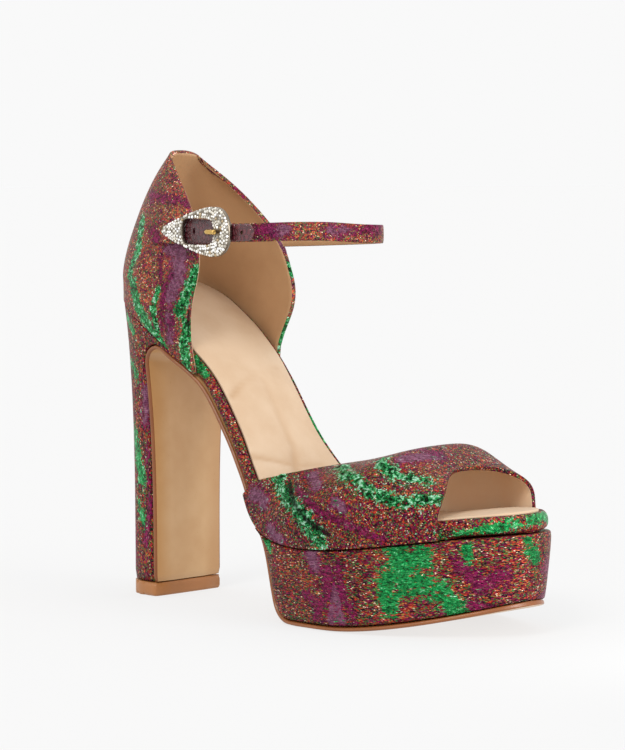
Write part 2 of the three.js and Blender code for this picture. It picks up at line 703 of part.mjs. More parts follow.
function vampGrid() {
  const keys = ['lateral', 'medial', 'crest', 'rise', 'side', 'sweep', 'slope'];
  const [lateralOf, medialOf, crestOf, riseOf, sideOf, sweepOf, slopeOf] = keys.map((key) => column(VAMP, key));
  return range(VAMP_STEPS).map((at) => {
    const crest = treadAt(crestOf(at) * INSOLE_LENGTH, -riseOf(at) * VAMP_HEIGHT);
    const crestX = treadAt(crestOf(at) * INSOLE_LENGTH).x;
    const foot = (share, inner, depthShare) => {
      const length = share * INSOLE_LENGTH;
      const turn = turnOfLength(length);
      return onTread(inner ? 2 - turn : turn, UPPER_OVERHANG, depthShare * stackDepth(length));
    };
    const side = (inner) => {
      const share = (inner ? medialOf : lateralOf)(at);
      return VAMP_SIDE_DEPTHS.map((depthShare) => foot(share, inner, depthShare));
    };
    const [lateral, medial] = [side(false), side(true)];
    const [springs, last] = [[lateral, medial].map((points) => points[points.length - 1]), VAMP_SIDE_DEPTHS.length - 1];
    const arch = range(VAMP_SIDES).slice(1, -1).map((share) => {
      const angle = Math.PI * share;
      const [x, y, z] = springs[share <= 0.5 ? 0 : 1];
      const rise = Math.sin(angle) ** (share <= 0.5 ? slopeOf(at) : CROWN_RISE);
      const spread = Math.abs(Math.cos(angle)) ** CROWN_SIDE;
      return [
        lerp(x, crestX, rise ** sweepOf(at)), lerp(sideOf(at) * BALL_WIDTH, y, spread), lerp(z, crest.z, rise),
      ];
    });
    return [...lateral.slice(0, last + 1), ...arch, ...medial.reverse()];
  });
}

function vamp() {
  const outer = vampGrid();
  return wall(outer, offsetGrid(outer, -VAMP_WALL));
}

// The closed back: rows from one front edge round the heel to the other

const QUARTER_SIDES = 15;
const quarterBackX = -SEAT_SETBACK - UPPER_OVERHANG;
const quarterFoot = treadAt(QUARTER_FOOT * INSOLE_LENGTH, stackDepth(QUARTER_FOOT * INSOLE_LENGTH)).z;

// A row's points stand at even turns of a rounded U, in side view and in plan
const U_FULLNESS = 2.3;
const alongOf = (around) => 1 - Math.cos(Math.PI / 2 * around) ** (2 / U_FULLNESS);
const besideOf = (around) => Math.sin(Math.PI / 2 * around) ** (2 / U_FULLNESS);
const aroundOf = (along) => Math.acos((1 - along) ** (U_FULLNESS / 2)) / (Math.PI / 2);

// The point of a row that follows the insole outline, at a share of the way to its front end
function quarterTreadPoint(around, inner, out, depthShare, frontShare) {
  const at = (station) => {
    const length = lengthOfTurn(station);
    return onTread(inner ? 2 - station : station, out(length), depthShare * stackDepth(length));
  };
  const end = turnOfLength(frontShare * INSOLE_LENGTH);
  const x = lerp(at(0)[0], at(end)[0], alongOf(around));
  return at(solve((station) => at(station)[0] > x, 0, end));
}

function quarterTreadRow(depthShare, frontShare) {
  const out = (length) => UPPER_OVERHANG - depthShare * footTuck(length);
  return range(2 * QUARTER_SIDES).map((share) => (
    quarterTreadPoint(Math.abs(2 * share - 1), share > 0.5, out, depthShare, frontShare)
  ));
}

function quarterEdges(row) {
  return {
    back: { x: quarterBackX + row.lean * QUARTER_LENGTH, z: SEAT_HEIGHT + row.rise_back * BACK_HEIGHT },
    front: quarterFoot + row.rise_front * QUARTER_RISE,
    lateral: quarterBackX + row.lateral * QUARTER_LENGTH,
    medial: quarterBackX + row.medial * QUARTER_LENGTH,
    width: row.width * QUARTER_WIDTH,
  };
}

// How far beside the middle a row stands: the insole outline's shape low down, a plain U above
function quarterBeside(height, around, inner, width) {
  const seat = Math.abs(quarterTreadPoint(around, inner, () => UPPER_OVERHANG, 0, QUARTER_FRONT)[1]);
  return width * lerp(seat / QUARTER_WIDTH, besideOf(around), smooth(height, 0, 0.6));
}

function quarterFreeRow(row, index) {
  const edges = quarterEdges(row);
  const height = index / (QUARTER.length - 1);
  return range(2 * QUARTER_SIDES).map((share) => {
    const [around, inner] = [Math.abs(2 * share - 1), share > 0.5];
    const along = alongOf(around);
    const beside = quarterBeside(height, around, inner, edges.width);
    return [
      lerp(edges.back.x, inner ? edges.medial : edges.lateral, along),
      inner ? beside : -beside,
      lerp(edges.back.z, edges.front, along),
    ];
  });
}

function quarterGrid() {
  return [
    quarterTreadRow(1, QUARTER_FOOT),
    quarterTreadRow(0.5, lerp(QUARTER_FOOT, QUARTER_FRONT, 0.5)),
    quarterTreadRow(0, QUARTER_FRONT),
    ...QUARTER.map(quarterFreeRow),
  ];
}

// The outer face of the outer quarter at a place in side view
function quarterFace(x, z) {
  const heights = QUARTER.map((_, index) => index / (QUARTER.length - 1));
  const edges = QUARTER.map(quarterEdges);
  const read = (pick) => monotone(heights, edges.map(pick));
  const [backX, backZ, endX, endZ, width] = [
    read((edge) => edge.back.x), read((edge) => edge.back.z), read((edge) => edge.lateral),
    read((edge) => edge.front), read((edge) => edge.width),
  ];
  const alongAt = (height) => clamp((x - backX(height)) / (endX(height) - backX(height)), 0, 1);
  const height = solve((v) => lerp(backZ(v), endZ(v), alongAt(v)) > z, 0, 1);
  return -quarterBeside(height, aroundOf(alongAt(height)), false, width(height));
}

// The ankle strap, a flat band on edge

const strapCurve = new THREE.CatmullRomCurve3(STRAP_ROUTE.map((row) => new THREE.Vector3(
  row.forward * STRAP_REACH, row.side * STRAP_HALF_SPAN, STRAP_HEIGHT - row.drop * STRAP_WIDTH,
)));

// A band along the strap's line: shares of its length, half heights, and how far out of the
// strap's middle its two faces lie
const BAND_FACE = 0.86;
const BAND_SHOULDER = 0.7;

function band(shares, halfHeight, inside, outside) {
  return loft(shares.map((share) => {
    const centre = strapCurve.getPointAt(share);
    const tangent = strapCurve.getTangentAt(share);
    const out = new THREE.Vector3(tangent.y, -tangent.x, 0).normalize();
    const [half, shoulder] = [halfHeight(share), lerp(inside, outside, BAND_SHOULDER)];
    const corner = (away, up) => [centre.x + out.x * away, centre.y + out.y * away, centre.z + up];
    return [
      corner(outside, -half * BAND_FACE), corner(outside, half * BAND_FACE),
      corner(shoulder, half), corner(inside, half), corner(inside, -half), corner(shoulder, -half),
    ];
  }));
}

function ankleStrap() {
  return band(range(56), () => STRAP_WIDTH / 2, -STRAP_THICKNESS / 2, STRAP_THICKNESS / 2);
}

// The billet: the leather end laid on the strap, with a round front end and punched holes

const strapLength = strapCurve.getLength();
const billetFace = STRAP_THICKNESS / 2 + GAP;
const holeShares = range(3).map((_, index) => (FIRST_HOLE + index * HOLE_PITCH) / strapLength);
const END_TURN = 0.93 * Math.PI / 2;

function billet(solids) {
  const half = STRAP_WIDTH / 2 - BILLET_INSET;
  const end = BILLET_LENGTH / strapLength;
  const rounding = half / strapLength;
  const shares = [...range(14).map((part) => part * (end - rounding)),
    ...range(5).slice(1).map((part) => end - rounding + rounding * Math.sin(part * END_TURN))];
  const height = (share) => {
    const past = clamp((share - (end - rounding)) / rounding, 0, 1);
    return half * Math.sqrt(1 - past * past);
  };
  const slab = solids.from(band(shares, height, billetFace, billetFace + BILLET_THICKNESS));
  return solids.back(holeShares.reduce((rest, share) => rest.subtract(solids.from(punch(share))), slab));
}

// A round punch through the billet at a share of the strap's line
function punch(share) {
  const centre = strapCurve.getPointAt(share);
  const tangent = strapCurve.getTangentAt(share);
  const out = new THREE.Vector3(tangent.y, -tangent.x, 0).normalize();
  const geometry = new THREE.CylinderGeometry(HOLE_RADIUS, HOLE_RADIUS, 4 * BILLET_THICKNESS, 10);
  geometry.applyQuaternion(new THREE.Quaternion().setFromUnitVectors(new THREE.Vector3(0, 1, 0), out));
  const place = centre.addScaledVector(out, billetFace + BILLET_THICKNESS / 2);
  return closed(geometry.translate(place.x, place.y, place.z));
}

// The tab on the outer quarter that carries the buckle

const TIP_BACK = 0.2305;
const TAB_BACK = 0.33;
const TAB_DROP = 0.9;
const TAB_NOSE = 0.12;
const buckleTip = strapCurve.getPointAt(0).x - TIP_BACK * BUCKLE_LENGTH;
const tabBack = buckleTip - TAB_BACK * BUCKLE_LENGTH;

function buckleTab() {
  const middle = STRAP_HEIGHT - TAB_DROP;
  const half = STRAP_WIDTH / 2;
  const rows = [...range(6).map((part) => 1 - Math.cos(part * Math.PI / 2)).map((part) => part * half),
    ...range(8).slice(1).map((part) => lerp(half, TAB_LENGTH, part))];
  return loft(rows.map((from) => {
    const nose = Math.max(from, TAB_NOSE * half);
    const x = tabBack + nose;
    const past = clamp(1 - nose / half, 0, 1);
    const height = half * Math.sqrt(1 - past * past);
    const corner = (up, away) => [x, quarterFace(x, middle + up) - GAP - away, middle + up];
    return [
      corner(-height, 0), corner(0, 0), corner(height, 0),
      corner(height, TAB_THICKNESS), corner(0, TAB_THICKNESS), corner(-height, TAB_THICKNESS),
    ];
  }));
}

// The buckle frame: a drop with a window, standing just off the billet

const BUCKLE_CHORD = 25;
const BUCKLE_STAND = 0.7;
const BUCKLE_RISE = 0.6;
const buckleMatrix = new THREE.Matrix4();
{
  const [rear, front] = [strapCurve.getPointAt(0), strapCurve.getPointAt(BUCKLE_CHORD / strapLength)];
  const along = new THREE.Vector3(front.x - rear.x, front.y - rear.y, 0).normalize();
  const up = new THREE.Vector3(0, 0, 1);
  const out = along.clone().cross(up);
  const off = billetFace + BILLET_THICKNESS + GAP + BUCKLE_STAND;
  const tip = rear.clone().addScaledVector(along, buckleTip - rear.x).addScaledVector(out, off);
  buckleMatrix.makeBasis(along, up, out.clone()).setPosition(tip.x, tip.y, STRAP_HEIGHT + BUCKLE_RISE);
}

// The drop's half height at a share of its length: straight flanks from a small nose, a round end
const DROP_POINT = 0.78;
const DROP_END = 6;
const DROP_NOSE = 0.04;
const dropRise = (share) => share ** DROP_POINT * Math.sqrt(Math.max(1 - share ** DROP_END, 0));
const dropPeak = dropRise((DROP_POINT / (DROP_POINT + DROP_END / 2)) ** (1 / DROP_END));
const DROP_POINTS = 44;
const WINDOW_POINTS = 28;
const WINDOW_CENTRE = 0.533;
const WINDOW_TAPER = 0.06;
const WINDOW_SQUARENESS = 0.5;

function buckleFrame() {
  const drop = range(DROP_POINTS).slice(0, -1).map((share) => {
    const angle = 2 * Math.PI * (share + 0.5 / DROP_POINTS);
    const along = (1 - Math.cos(angle)) / 2;
    const half = BUCKLE_HEIGHT / 2 * dropRise(lerp(DROP_NOSE, 1, along)) / dropPeak;
    return new THREE.Vector2(BUCKLE_LENGTH * along, -half * Math.sign(Math.sin(angle)));
  });
  const shape = new THREE.Shape(drop);
  const squared = (value) => Math.sign(value) * Math.abs(value) ** WINDOW_SQUARENESS;
  const window = range(WINDOW_POINTS).slice(0, -1).map((share) => {
    const angle = -2 * Math.PI * share;
    const [c, s] = [Math.cos(angle), Math.sin(angle)];
    const half = WINDOW_HEIGHT / 2 * (1 + WINDOW_TAPER * c);
    return new THREE.Vector2(WINDOW_CENTRE * BUCKLE_LENGTH + WINDOW_LENGTH / 2 * squared(c), half * squared(s));
  });
  shape.holes.push(new THREE.Path(window));
  const geometry = new THREE.ExtrudeGeometry(shape, {
    depth: BUCKLE_THICKNESS - FRAME_BEVEL,
    bevelThickness: FRAME_BEVEL,
    bevelSize: FRAME_BEVEL,
    bevelOffset: -FRAME_BEVEL,
    bevelSegments: 1,
    curveSegments: 1,
  });
  return closed(geometry.applyMatrix4(buckleMatrix));
}

// The prong: a short pin out of the billet's hole, over the frame's front bar. past is millimetres
// beyond the hole, up millimetres over the frame's back.
const PRONG_TOP = BUCKLE_THICKNESS + GAP + PRONG_RADIUS + 0.1;
const PRONG_ROUTE = [
  { past: 1.2, up: 1.25 },
  { past: 2.4, up: 2.2 },
  { past: 4, up: PRONG_TOP },
  { past: 8.8, up: PRONG_TOP + 0.1 },
];

function buckleProng() {
  const hole = strapCurve.getPointAt(holeShares[1]);
  const local = hole.applyMatrix4(buckleMatrix.clone().invert());
  const corners = PRONG_ROUTE.map(({ past, up }) => new THREE.Vector3(local.x + past, 0, up));
  const route = new THREE.CatmullRomCurve3(corners);
  const section = new THREE.Shape(range(8).slice(0, -1).map((share) => new THREE.Vector2(
    PRONG_RADIUS * Math.cos(2 * Math.PI * share), PRONG_RADIUS * Math.sin(2 * Math.PI * share),
  )));
  const geometry = new THREE.ExtrudeGeometry(section, { steps: 10, extrudePath: route, bevelEnabled: false });
  return closed(geometry.applyMatrix4(buckleMatrix));
}

// Joining and cutting

function solidMaker(wasm) {
  return {
    from(geometry) {
      return new wasm.Manifold(new wasm.Mesh({
        numProp: 3,
        vertProperties: new Float32Array(geometry.getAttribute('position').array),
        triVerts: new Uint32Array(geometry.getIndex().array),
      }));
    },
    back(solid) {
      const mesh = solid.getMesh();
      const geometry = new THREE.BufferGeometry();
      geometry.setAttribute('position', new THREE.BufferAttribute(mesh.vertProperties, 3));
      geometry.setIndex(new THREE.BufferAttribute(mesh.triVerts, 1));
      return geometry;
    },
  };
}

function quartersAndStrap(solids) {
  const outer = quarterGrid();
  const quarters = solids.from(wall(outer, offsetGrid(outer, -QUARTER_WALL)));
  return solids.back(quarters.add(solids.from(ankleStrap())));
}

const wasm = await Module();
wasm.setup();
const solids = solidMaker(wasm);

const finishes = {
  brocade: { color: 0x9a3a44, roughness: 0.55, metalness: 0.35 },
  soleLeather: { color: 0xc08a55, roughness: 0.5, metalness: 0 },
  sockLeather: { color: 0xe3c7a3, roughness: 0.6, metalness: 0 },
  rubber: { color: 0x9c6a3c, roughness: 0.7, metalness: 0 },
  burgundy: { color: 0x4a1f2c, roughness: 0.5, metalness: 0 },
  crystal: { color: 0xe9e4dc, roughness: 0.15, metalness: 0.6 },
  gold: { color: 0xd8b35a, roughness: 0.25, metalness: 1 },
};

const pieces = [
  ['top_piece', topPiece, 'rubber'],
  ['heel_block', heelBlock, 'brocade'],
  ['outsole', outsole, 'soleLeather'],
  ['platform', platform, 'brocade'],
  ['insole_board', insoleBoard, 'brocade'],
  ['sock', sock, 'sockLeather'],
  ['vamp', vamp, 'brocade'],
  ['quarters_and_strap', quartersAndStrap, 'brocade'],
  ['buckle_tab', buckleTab, 'brocade'],
  ['billet', billet, 'burgundy'],
  ['buckle_frame', buckleFrame, 'crystal'],
  ['buckle_prong', buckleProng, 'gold'],
];

const sandal = new THREE.Group();
for (const [name, make, finish] of pieces) {
  const mesh = new THREE.Mesh(make(solids), new THREE.MeshStandardMaterial(finishes[finish]));
  mesh.name = name;
  sandal.add(mesh);
}

export default sandal;
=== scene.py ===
"""Looks of a right-foot block heel platform sandal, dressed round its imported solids.

Everything is in metres in the part frame: +X to the toe, +Y to the inner side, +Z up. Tables and
named sizes are in millimetres, as a maker writes them, and are turned to metres when a mesh is made.
"""

import logging
import math
from dataclasses import dataclass, field, fields
from enum import Enum, IntEnum
from typing import Callable, Sequence

import bmesh
import bpy
import numpy as np
from mathutils import Matrix, Vector


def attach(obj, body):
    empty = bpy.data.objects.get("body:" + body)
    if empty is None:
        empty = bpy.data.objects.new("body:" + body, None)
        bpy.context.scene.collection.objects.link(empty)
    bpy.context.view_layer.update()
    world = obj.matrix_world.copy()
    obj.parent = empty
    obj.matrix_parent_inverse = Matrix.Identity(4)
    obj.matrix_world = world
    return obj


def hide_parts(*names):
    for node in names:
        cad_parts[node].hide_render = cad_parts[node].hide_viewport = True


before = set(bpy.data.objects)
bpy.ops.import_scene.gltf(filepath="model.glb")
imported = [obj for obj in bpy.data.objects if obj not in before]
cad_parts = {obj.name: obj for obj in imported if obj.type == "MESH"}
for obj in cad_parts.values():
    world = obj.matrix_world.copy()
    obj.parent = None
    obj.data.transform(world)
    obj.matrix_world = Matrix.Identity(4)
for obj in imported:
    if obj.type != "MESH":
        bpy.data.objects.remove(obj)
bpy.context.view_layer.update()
LOG = logging.getLogger("sandal")
MM = 0.001
BODY = "root"
Material = bpy.types.Material
Piece = bpy.types.Object


# Named choices


class Grain(Enum):
    """How a leather's surface is broken up, by the cells that it is drawn from."""

    PORES = "F1"
    SCALES = "DISTANCE_TO_EDGE"


class Between(Enum):
    """How a ramp goes from one colour to the next."""

    BLENDED = "LINEAR"
    STEPPED = "CONSTANT"


class UpperFace(IntEnum):
    """What a face of the upper wears, by its place in the list of finishes."""

    CLOTH = 0
    LINING = 1
    RIM = 2
    LINE = 3


class SoleFace(IntEnum):
    """What a face of the sole wears, by its place in the list of finishes."""

    POLISHED = 0
    PAINTED = 1


# Shader expressions


class Value:
    """A socket of a node tree that takes Python's arithmetic."""

    def __init__(self, paint: "Paint", socket: bpy.types.NodeSocket) -> None:
        """Wraps a socket.

        Args:
            paint: the tree that the socket belongs to.
            socket: the output to wrap.
        """
        self.paint = paint
        self.socket = socket

    def _math(self, operation: str, *terms: "Value | float") -> "Value":
        """Adds a Math node over the terms, in their order."""
        return self.paint.node("ShaderNodeMath", {"operation": operation}, dict(enumerate(terms)))

    def __add__(self, other: "Value | float") -> "Value":
        """Sum."""
        return self._math("ADD", self, other)

    def __radd__(self, other: float) -> "Value":
        """Sum with a number on the left."""
        return self._math("ADD", other, self)

    def __sub__(self, other: "Value | float") -> "Value":
        """Difference."""
        return self._math("SUBTRACT", self, other)

    def __rsub__(self, other: float) -> "Value":
        """Difference from a number."""
        return self._math("SUBTRACT", other, self)

    def __mul__(self, other: "Value | float") -> "Value":
        """Product."""
        return self._math("MULTIPLY", self, other)

    def __rmul__(self, other: float) -> "Value":
        """Product with a number on the left."""
        return self._math("MULTIPLY", other, self)

    def step(self, low: float, high: float) -> "Value":
        """0 below low, 1 above high, smooth between."""
        settings = {"interpolation_type": "SMOOTHSTEP"}
        links = {"Value": self, "From Min": low, "From Max": high}
        return self.paint.node("ShaderNodeMapRange", settings, links)


class Paint:
    """One material's node tree."""

    def __init__(self, name: str) -> None:
        """Starts an empty material.

        Args:
            name: the material's name.
        """
        self.material = bpy.data.materials.new(name)
        self.material.use_nodes = True
        self.tree = self.material.node_tree
        self.tree.nodes.clear()

    def node(
        self, kind: str, settings: dict | None = None, links: dict | None = None, out: int | str = 0
    ) -> Value:
        """Adds a node.

        Args:
            kind: the node's type.
            settings: its properties, set first. "stops" gives a ramp's places and hex codes, and
                "between" how it goes from one to the next.
            links: socket name or number to a value, a colour or another node's output.
            out: which output to give back.

        Returns:
            The chosen output.
        """
        made = self.tree.nodes.new(kind)
        for key, value in (settings or {}).items():
            if key == "stops":
                ramp = made.color_ramp
                while len(ramp.elements) < len(value):
                    ramp.elements.new(0.5)
                for element, (place, colour) in zip(ramp.elements, value):
                    element.position = place
                    element.color = (*shade(colour), 1)
            elif key == "between":
                made.color_ramp.interpolation = value
            else:
                setattr(made, key, value)
        for key, value in (links or {}).items():
            socket = made.inputs[key]
            if isinstance(value, Value):
                self.tree.links.new(value.socket, socket)
            elif isinstance(value, tuple) and len(value) == 3 and socket.type == "RGBA":
                socket.default_value = (*value, 1)
            else:
                socket.default_value = value
        return Value(self, made.outputs[out])

    def place(self, scale: Sequence[float]) -> Value:
        """The place on the piece in millimetres, stretched along each axis."""
        where = self.node("ShaderNodeTexCoord", out="Object")
        return self.node("ShaderNodeMapping", {}, {"Vector": where, "Scale": tuple(s / MM for s in scale)})

    def noise(
        self, where: Value, scale: float, detail: float = 2, rough: float = 0.5, warp: float = 0
    ) -> Value:
        """Perlin noise about 0.5, with its scale in features per millimetre."""
        links = {"Vector": where, "Scale": scale, "Detail": detail, "Roughness": rough, "Distortion": warp}
        return self.node("ShaderNodeTexNoise", {}, links)

    def cells(self, where: Value, scale: float, out: str = "Color", grain: Grain = Grain.PORES) -> Value:
        """Voronoi cells, with their scale in cells per millimetre."""
        links = {"Vector": where, "Scale": scale}
        return self.node("ShaderNodeTexVoronoi", {"feature": grain.value}, links, out)

    def attribute(self, name: str) -> Value:
        """A number stored on the mesh."""
        return self.node("ShaderNodeAttribute", {"attribute_name": name}, out="Fac")

    def red(self, colour: Value) -> Value:
        """The first channel of a colour."""
        return self.node("ShaderNodeSeparateColor", {}, {0: colour})

    def ramp(self, value: Value, stops: Sequence[tuple], between: Between = Between.BLENDED) -> Value:
        """A colour read from a ramp of places and hex codes."""
        settings = {"stops": stops, "between": between.value}
        return self.node("ShaderNodeValToRGB", settings, {"Fac": value})

    def mix(self, share: Value | float, first: Value | tuple, second: Value | tuple) -> Value:
        """Mixes two colours."""
        return self.node("ShaderNodeMix", {"data_type": "RGBA"}, {0: share, 6: first, 7: second}, 2)

    def bump(self, height: Value, strength: float, distance: float, under: Value | None = None) -> Value:
        """Adds a bump.

        Args:
            height: the pattern that stands out.
            strength: how far the bump shows, up to 1.
            distance: millimetres for a height of 1.
            under: another bump to stand on.

        Returns:
            The bent directions.
        """
        links = {"Height": height, "Strength": strength, "Distance": distance * MM}
        if under is not None:
            links["Normal"] = under
        return self.node("ShaderNodeBump", {}, links)

    def surface(self, fixed: dict, varied: dict) -> Material:
        """Closes the tree with one principled surface.

        Args:
            fixed: numbers and colours set on the shader's own sockets.
            varied: outputs that change over the surface.

        Returns:
            The finished material.
        """
        shader = self.node("ShaderNodeBsdfPrincipled", {}, {**fixed, **varied})
        end = self.tree.nodes.new("ShaderNodeOutputMaterial")
        self.tree.links.new(shader.socket, end.inputs["Surface"])
        return self.material


def shade(hexa: str) -> tuple[float, float, float]:
    """A linear colour from the hex code of the colour as seen."""
    seen = [int(hexa[i : i + 2], 16) / 255 for i in (0, 2, 4)]
    return tuple(c / 12.92 if c < 0.04045 else ((c + 0.055) / 1.055) ** 2.4 for c in seen)


# Finishes

WARM_THREADS = (
    (0.0, "24061a"), (0.12, "4e0f2a"), (0.28, "761a28"), (0.45, "962824"),
    (0.6, "b43a24"), (0.74, "8c1f4c"), (0.84, "5c1442"), (0.93, "cc6440"),
)
SPECK_SHARE = 0.3
SPECKS = ((0.0, "0f3018"), (0.09, "2a7a40"), (0.2, "6c8038"), (0.27, "bf8a48"), (SPECK_SHARE, "000000"))
# Green tones, from a painted shadow at the darkest stop to a painted highlight at the palest.
LEAF_TONES_AND_LIGHT = ((0.34, "01140a"), (0.42, "053a20"), (0.48, "0a7a3c"), (0.57, "22ae5c"), (0.66, "bcf4d4"))
STONE_TONES = (
    (0.0, "a39c90"), (0.1, "ddd8cc"), (0.35, "f6f3ec"), (0.6, "ffffff"), (0.86, "e6e0d2"), (0.96, "b79f78"),
)


@dataclass(frozen=True)
class Brocade:
    """A woven jacquard: a sparkling ground of metallic threads with crinkled and satin figures.

    The figures' places come from the mesh attributes green, mauve and pink, and from one that
    marks painted shade in the deepest folds, near 1 in the middle of a figure and 0 away from it,
    and noise breaks up their outlines.
    """

    name: str
    stretch: tuple[float, float, float] = (1.0, 1.0, 1.0)
    cell: float = 1.32
    pucker: float = 0.7
    crimp: float = 0.6
    # deep: how dark the painted shadow between the ground's cells is.
    deep: float = 0.5
    # Painted light: how far the whole ground is paled towards a light tone, for a lit copy of the cloth.
    lift: float = 0.0
    # How far the green's painted light and shade, and its tones, spread from the middle.
    contrast: float = 1.0
    tear: float = 1.9

    def make(self) -> Material:
        """Builds the cloth.

        Returns:
            The material.
        """
        p = Paint(self.name)
        even = p.place((1, 1, 1))
        along = p.place(self.stretch)
        edge = p.noise(along, 0.3, 3, 0.6) - 0.5
        thread = p.noise(along, 1.1, 2, 0.6) - 0.5
        torn = (edge + thread) * self.tear
        green = (p.attribute("green") + torn).step(0.46, 0.52)
        mauve_field = p.attribute("mauve") + edge * 1.7 + thread * 1.1
        mauve = mauve_field.step(0.46, 0.62)
        pink = (p.attribute("pink") + edge * 1.8 + thread * 2.2).step(0.4, 0.6)
        halo = (mauve_field + thread).step(0.18, 0.4) * 0.8
        # Painted shade: the deepest folds darken towards near black.
        dark = (p.attribute("dark") + thread * 0.5).step(0.35, 0.9) * 0.85
        ground, painted_glints = self.ground(p, even, along)

        crinkle = p.noise(along, self.crimp, 4, 0.6, 0.8)
        fold = p.noise(even, 0.28, 3, 0.6, 1.2)
        # Painted light and shade on the green: paler on the crinkles' ridges, which also raise its bump,
        # darker in their hollows.
        light = (crinkle - 0.5) * 0.9 + thread * 0.3 + (fold - 0.5) * 0.3
        leaf = p.ramp(light * self.contrast + 0.5, LEAF_TONES_AND_LIGHT)
        grain = {"Vector": along, "Scale": 0.5, "Distortion": 2.5, "Detail": 2}
        satin_line = p.node("ShaderNodeTexWave", {"bands_direction": "Z"}, grain)
        # The satin's pale mauve is partly its ribbed weave and partly a painted sheen that follows its
        # crinkles.
        satin = p.mix(satin_line * 0.4 + crinkle.step(0.4, 0.65) * 0.6, shade("4c1c38"), shade("96637f"))
        petal = p.mix(crinkle.step(0.35, 0.65), shade("40082a"), shade("9c2060"))

        colour = p.mix(halo * (1 - mauve), ground, petal)
        colour = p.mix(mauve * 0.9, colour, satin)
        colour = p.mix(pink * 0.8, colour, petal)
        colour = p.mix(green * 0.94, colour, leaf)
        colour = p.mix(dark, colour, shade("1a0612"))

        relief = p.cells(along, self.cell * 1.25, "Distance") * (1 - mauve * 0.6) * (1 - green)
        weave = p.bump(relief, 0.7, 0.45)
        rise = green * crinkle * 2.2 + green * 0.6 + pink * crinkle * 1.4 + mauve * crinkle * 0.8 + halo * 0.2
        gloss = 0.44 - green * 0.12 - pink * 0.08 + mauve * 0.02 - painted_glints * 0.2
        shine = 0.5 - mauve * 0.25 + green * 0.15
        folds = p.bump(rise, 1.0, self.pucker, weave)
        varied = {"Base Color": colour, "Roughness": gloss, "Metallic": shine, "Normal": folds}
        return p.surface({"Specular IOR Level": 0.08}, varied)

    def ground(self, p: Paint, even: Value, along: Value) -> tuple[Value, Value]:
        """The sparkling ground between the figures.

        One net of cells gives the warm threads, pushed about by a slow drift. The low cells of a finer
        net are specks of other colours, and its few highest ones are painted glints, pale specks for
        light caught by the metallic threads. A third net paints shadow between its cells.

        Args:
            p: the cloth's tree.
            even: places on the piece.
            along: the same places, stretched as the cloth is.

        Returns:
            The ground's colour, and a mask of its painted glints.
        """
        drift = p.noise(even, 0.09, 3, 0.6)
        pick = p.red(p.cells(along, self.cell))
        other = p.red(p.cells(along, self.cell * 1.7))
        warm = p.ramp(pick + (drift - 0.5) * 0.9, WARM_THREADS, Between.STEPPED)
        speck = p.ramp(other, SPECKS, Between.STEPPED)
        specked = p.mix((SPECK_SHARE - other).step(0.0, 0.001) * 0.9, warm, speck)
        # Painted glints: the finer net's few highest cells turn pale, standing for light caught by the
        # threads.
        painted_glints = (other - 0.972).step(0.0, 0.004)
        bright = p.mix(painted_glints, specked, shade("f0d6b4"))
        # Painted shadow between the cells of a third net, as dark as deep asks.
        shadow = p.cells(along, self.cell * 1.1, "Distance").step(0.25, 0.8)
        shaded = p.mix(shadow * self.deep, bright, shade("2c0a18"))
        # Painted light pales the ground of a lit copy of the cloth.
        return p.mix(self.lift, shaded, shade("d0a084")), painted_glints


@dataclass(frozen=True)
class Leather:
    """Smooth or embossed leather: pores or scales in the bump, a slow change of tone, and painted shade where
    shaded.
    """

    name: str
    colour: str
    deep: str
    rough: float
    grain: float
    relief: float
    kind: Grain = Grain.PORES
    mottle: float = 0.35
    coat: float = 0.0
    # shaded: whether the deep attribute paints shade on it.
    shaded: bool = False

    def make(self) -> Material:
        """Builds the leather.

        Returns:
            The material.
        """
        p = Paint(self.name)
        even = p.place((1, 1, 1))
        slow = p.noise(even, 0.045, 3, 0.55)
        fine = p.noise(even, 0.9, 3, 0.6)
        tone = slow.step(0.35, 0.68) * self.mottle + fine * 0.12
        deep = shade(self.deep)
        colour = p.mix(tone, shade(self.colour), deep)
        # Painted shade: a shaded leather darkens where its deep attribute is high, along the sock's folds and
        # at the breast's edges and foot.
        if self.shaded:
            colour = p.mix(p.attribute("deep"), colour, deep)
        pores = p.cells(even, self.grain, "Distance", self.kind)
        if self.kind is Grain.SCALES:
            groove = 1 - pores.step(0.0, 0.16)
            colour = p.mix(groove * 0.7, colour, deep)
            height = pores.step(0.0, 0.3)
        else:
            height = pores * 0.6 + fine * 0.5
        bump = p.bump(height, 0.5, self.relief)
        gloss = self.rough + (fine - 0.5) * 0.14
        return p.surface(
            {"Specular IOR Level": 0.45, "Coat Roughness": 0.25, "Coat Weight": self.coat},
            {"Base Color": colour, "Roughness": gloss, "Normal": bump},
        )


@dataclass(frozen=True)
class Metal:
    """Polished or plated metal with faint handling marks."""

    name: str
    colour: str
    rough: float

    def make(self) -> Material:
        """Builds the metal.

        Returns:
            The material.
        """
        p = Paint(self.name)
        even = p.place((1, 1, 1))
        marks = p.noise(even, 1.6, 4, 0.6)
        bright = shade(self.colour)
        colour = p.mix(marks.step(0.3, 0.7), bright, tuple(0.8 * channel for channel in bright))
        gloss = self.rough + (marks - 0.5) * 0.12
        return p.surface(
            {"Metallic": 1.0, "Specular IOR Level": 0.5},
            {"Base Color": colour, "Roughness": gloss, "Normal": p.bump(marks, 0.2, 0.05)},
        )


@dataclass(frozen=True)
class Stone:
    """Clear cut stones over a foil back, each a little different in tone."""

    name: str

    def make(self) -> Material:
        """Builds the stones.

        Returns:
            The material.
        """
        p = Paint(self.name)
        tint = p.attribute("tint")
        colour = p.ramp(tint, STONE_TONES, Between.STEPPED)
        return p.surface(
            {"Specular IOR Level": 0.9, "Coat Weight": 1.0, "Coat Roughness": 0.03},
            {"Base Color": colour, "Roughness": 0.14 + tint * 0.1, "Metallic": 0.1 + tint * 0.3},
        )


# Curves and meshes

Stroke = tuple[tuple[tuple[float, float, float], ...], float]


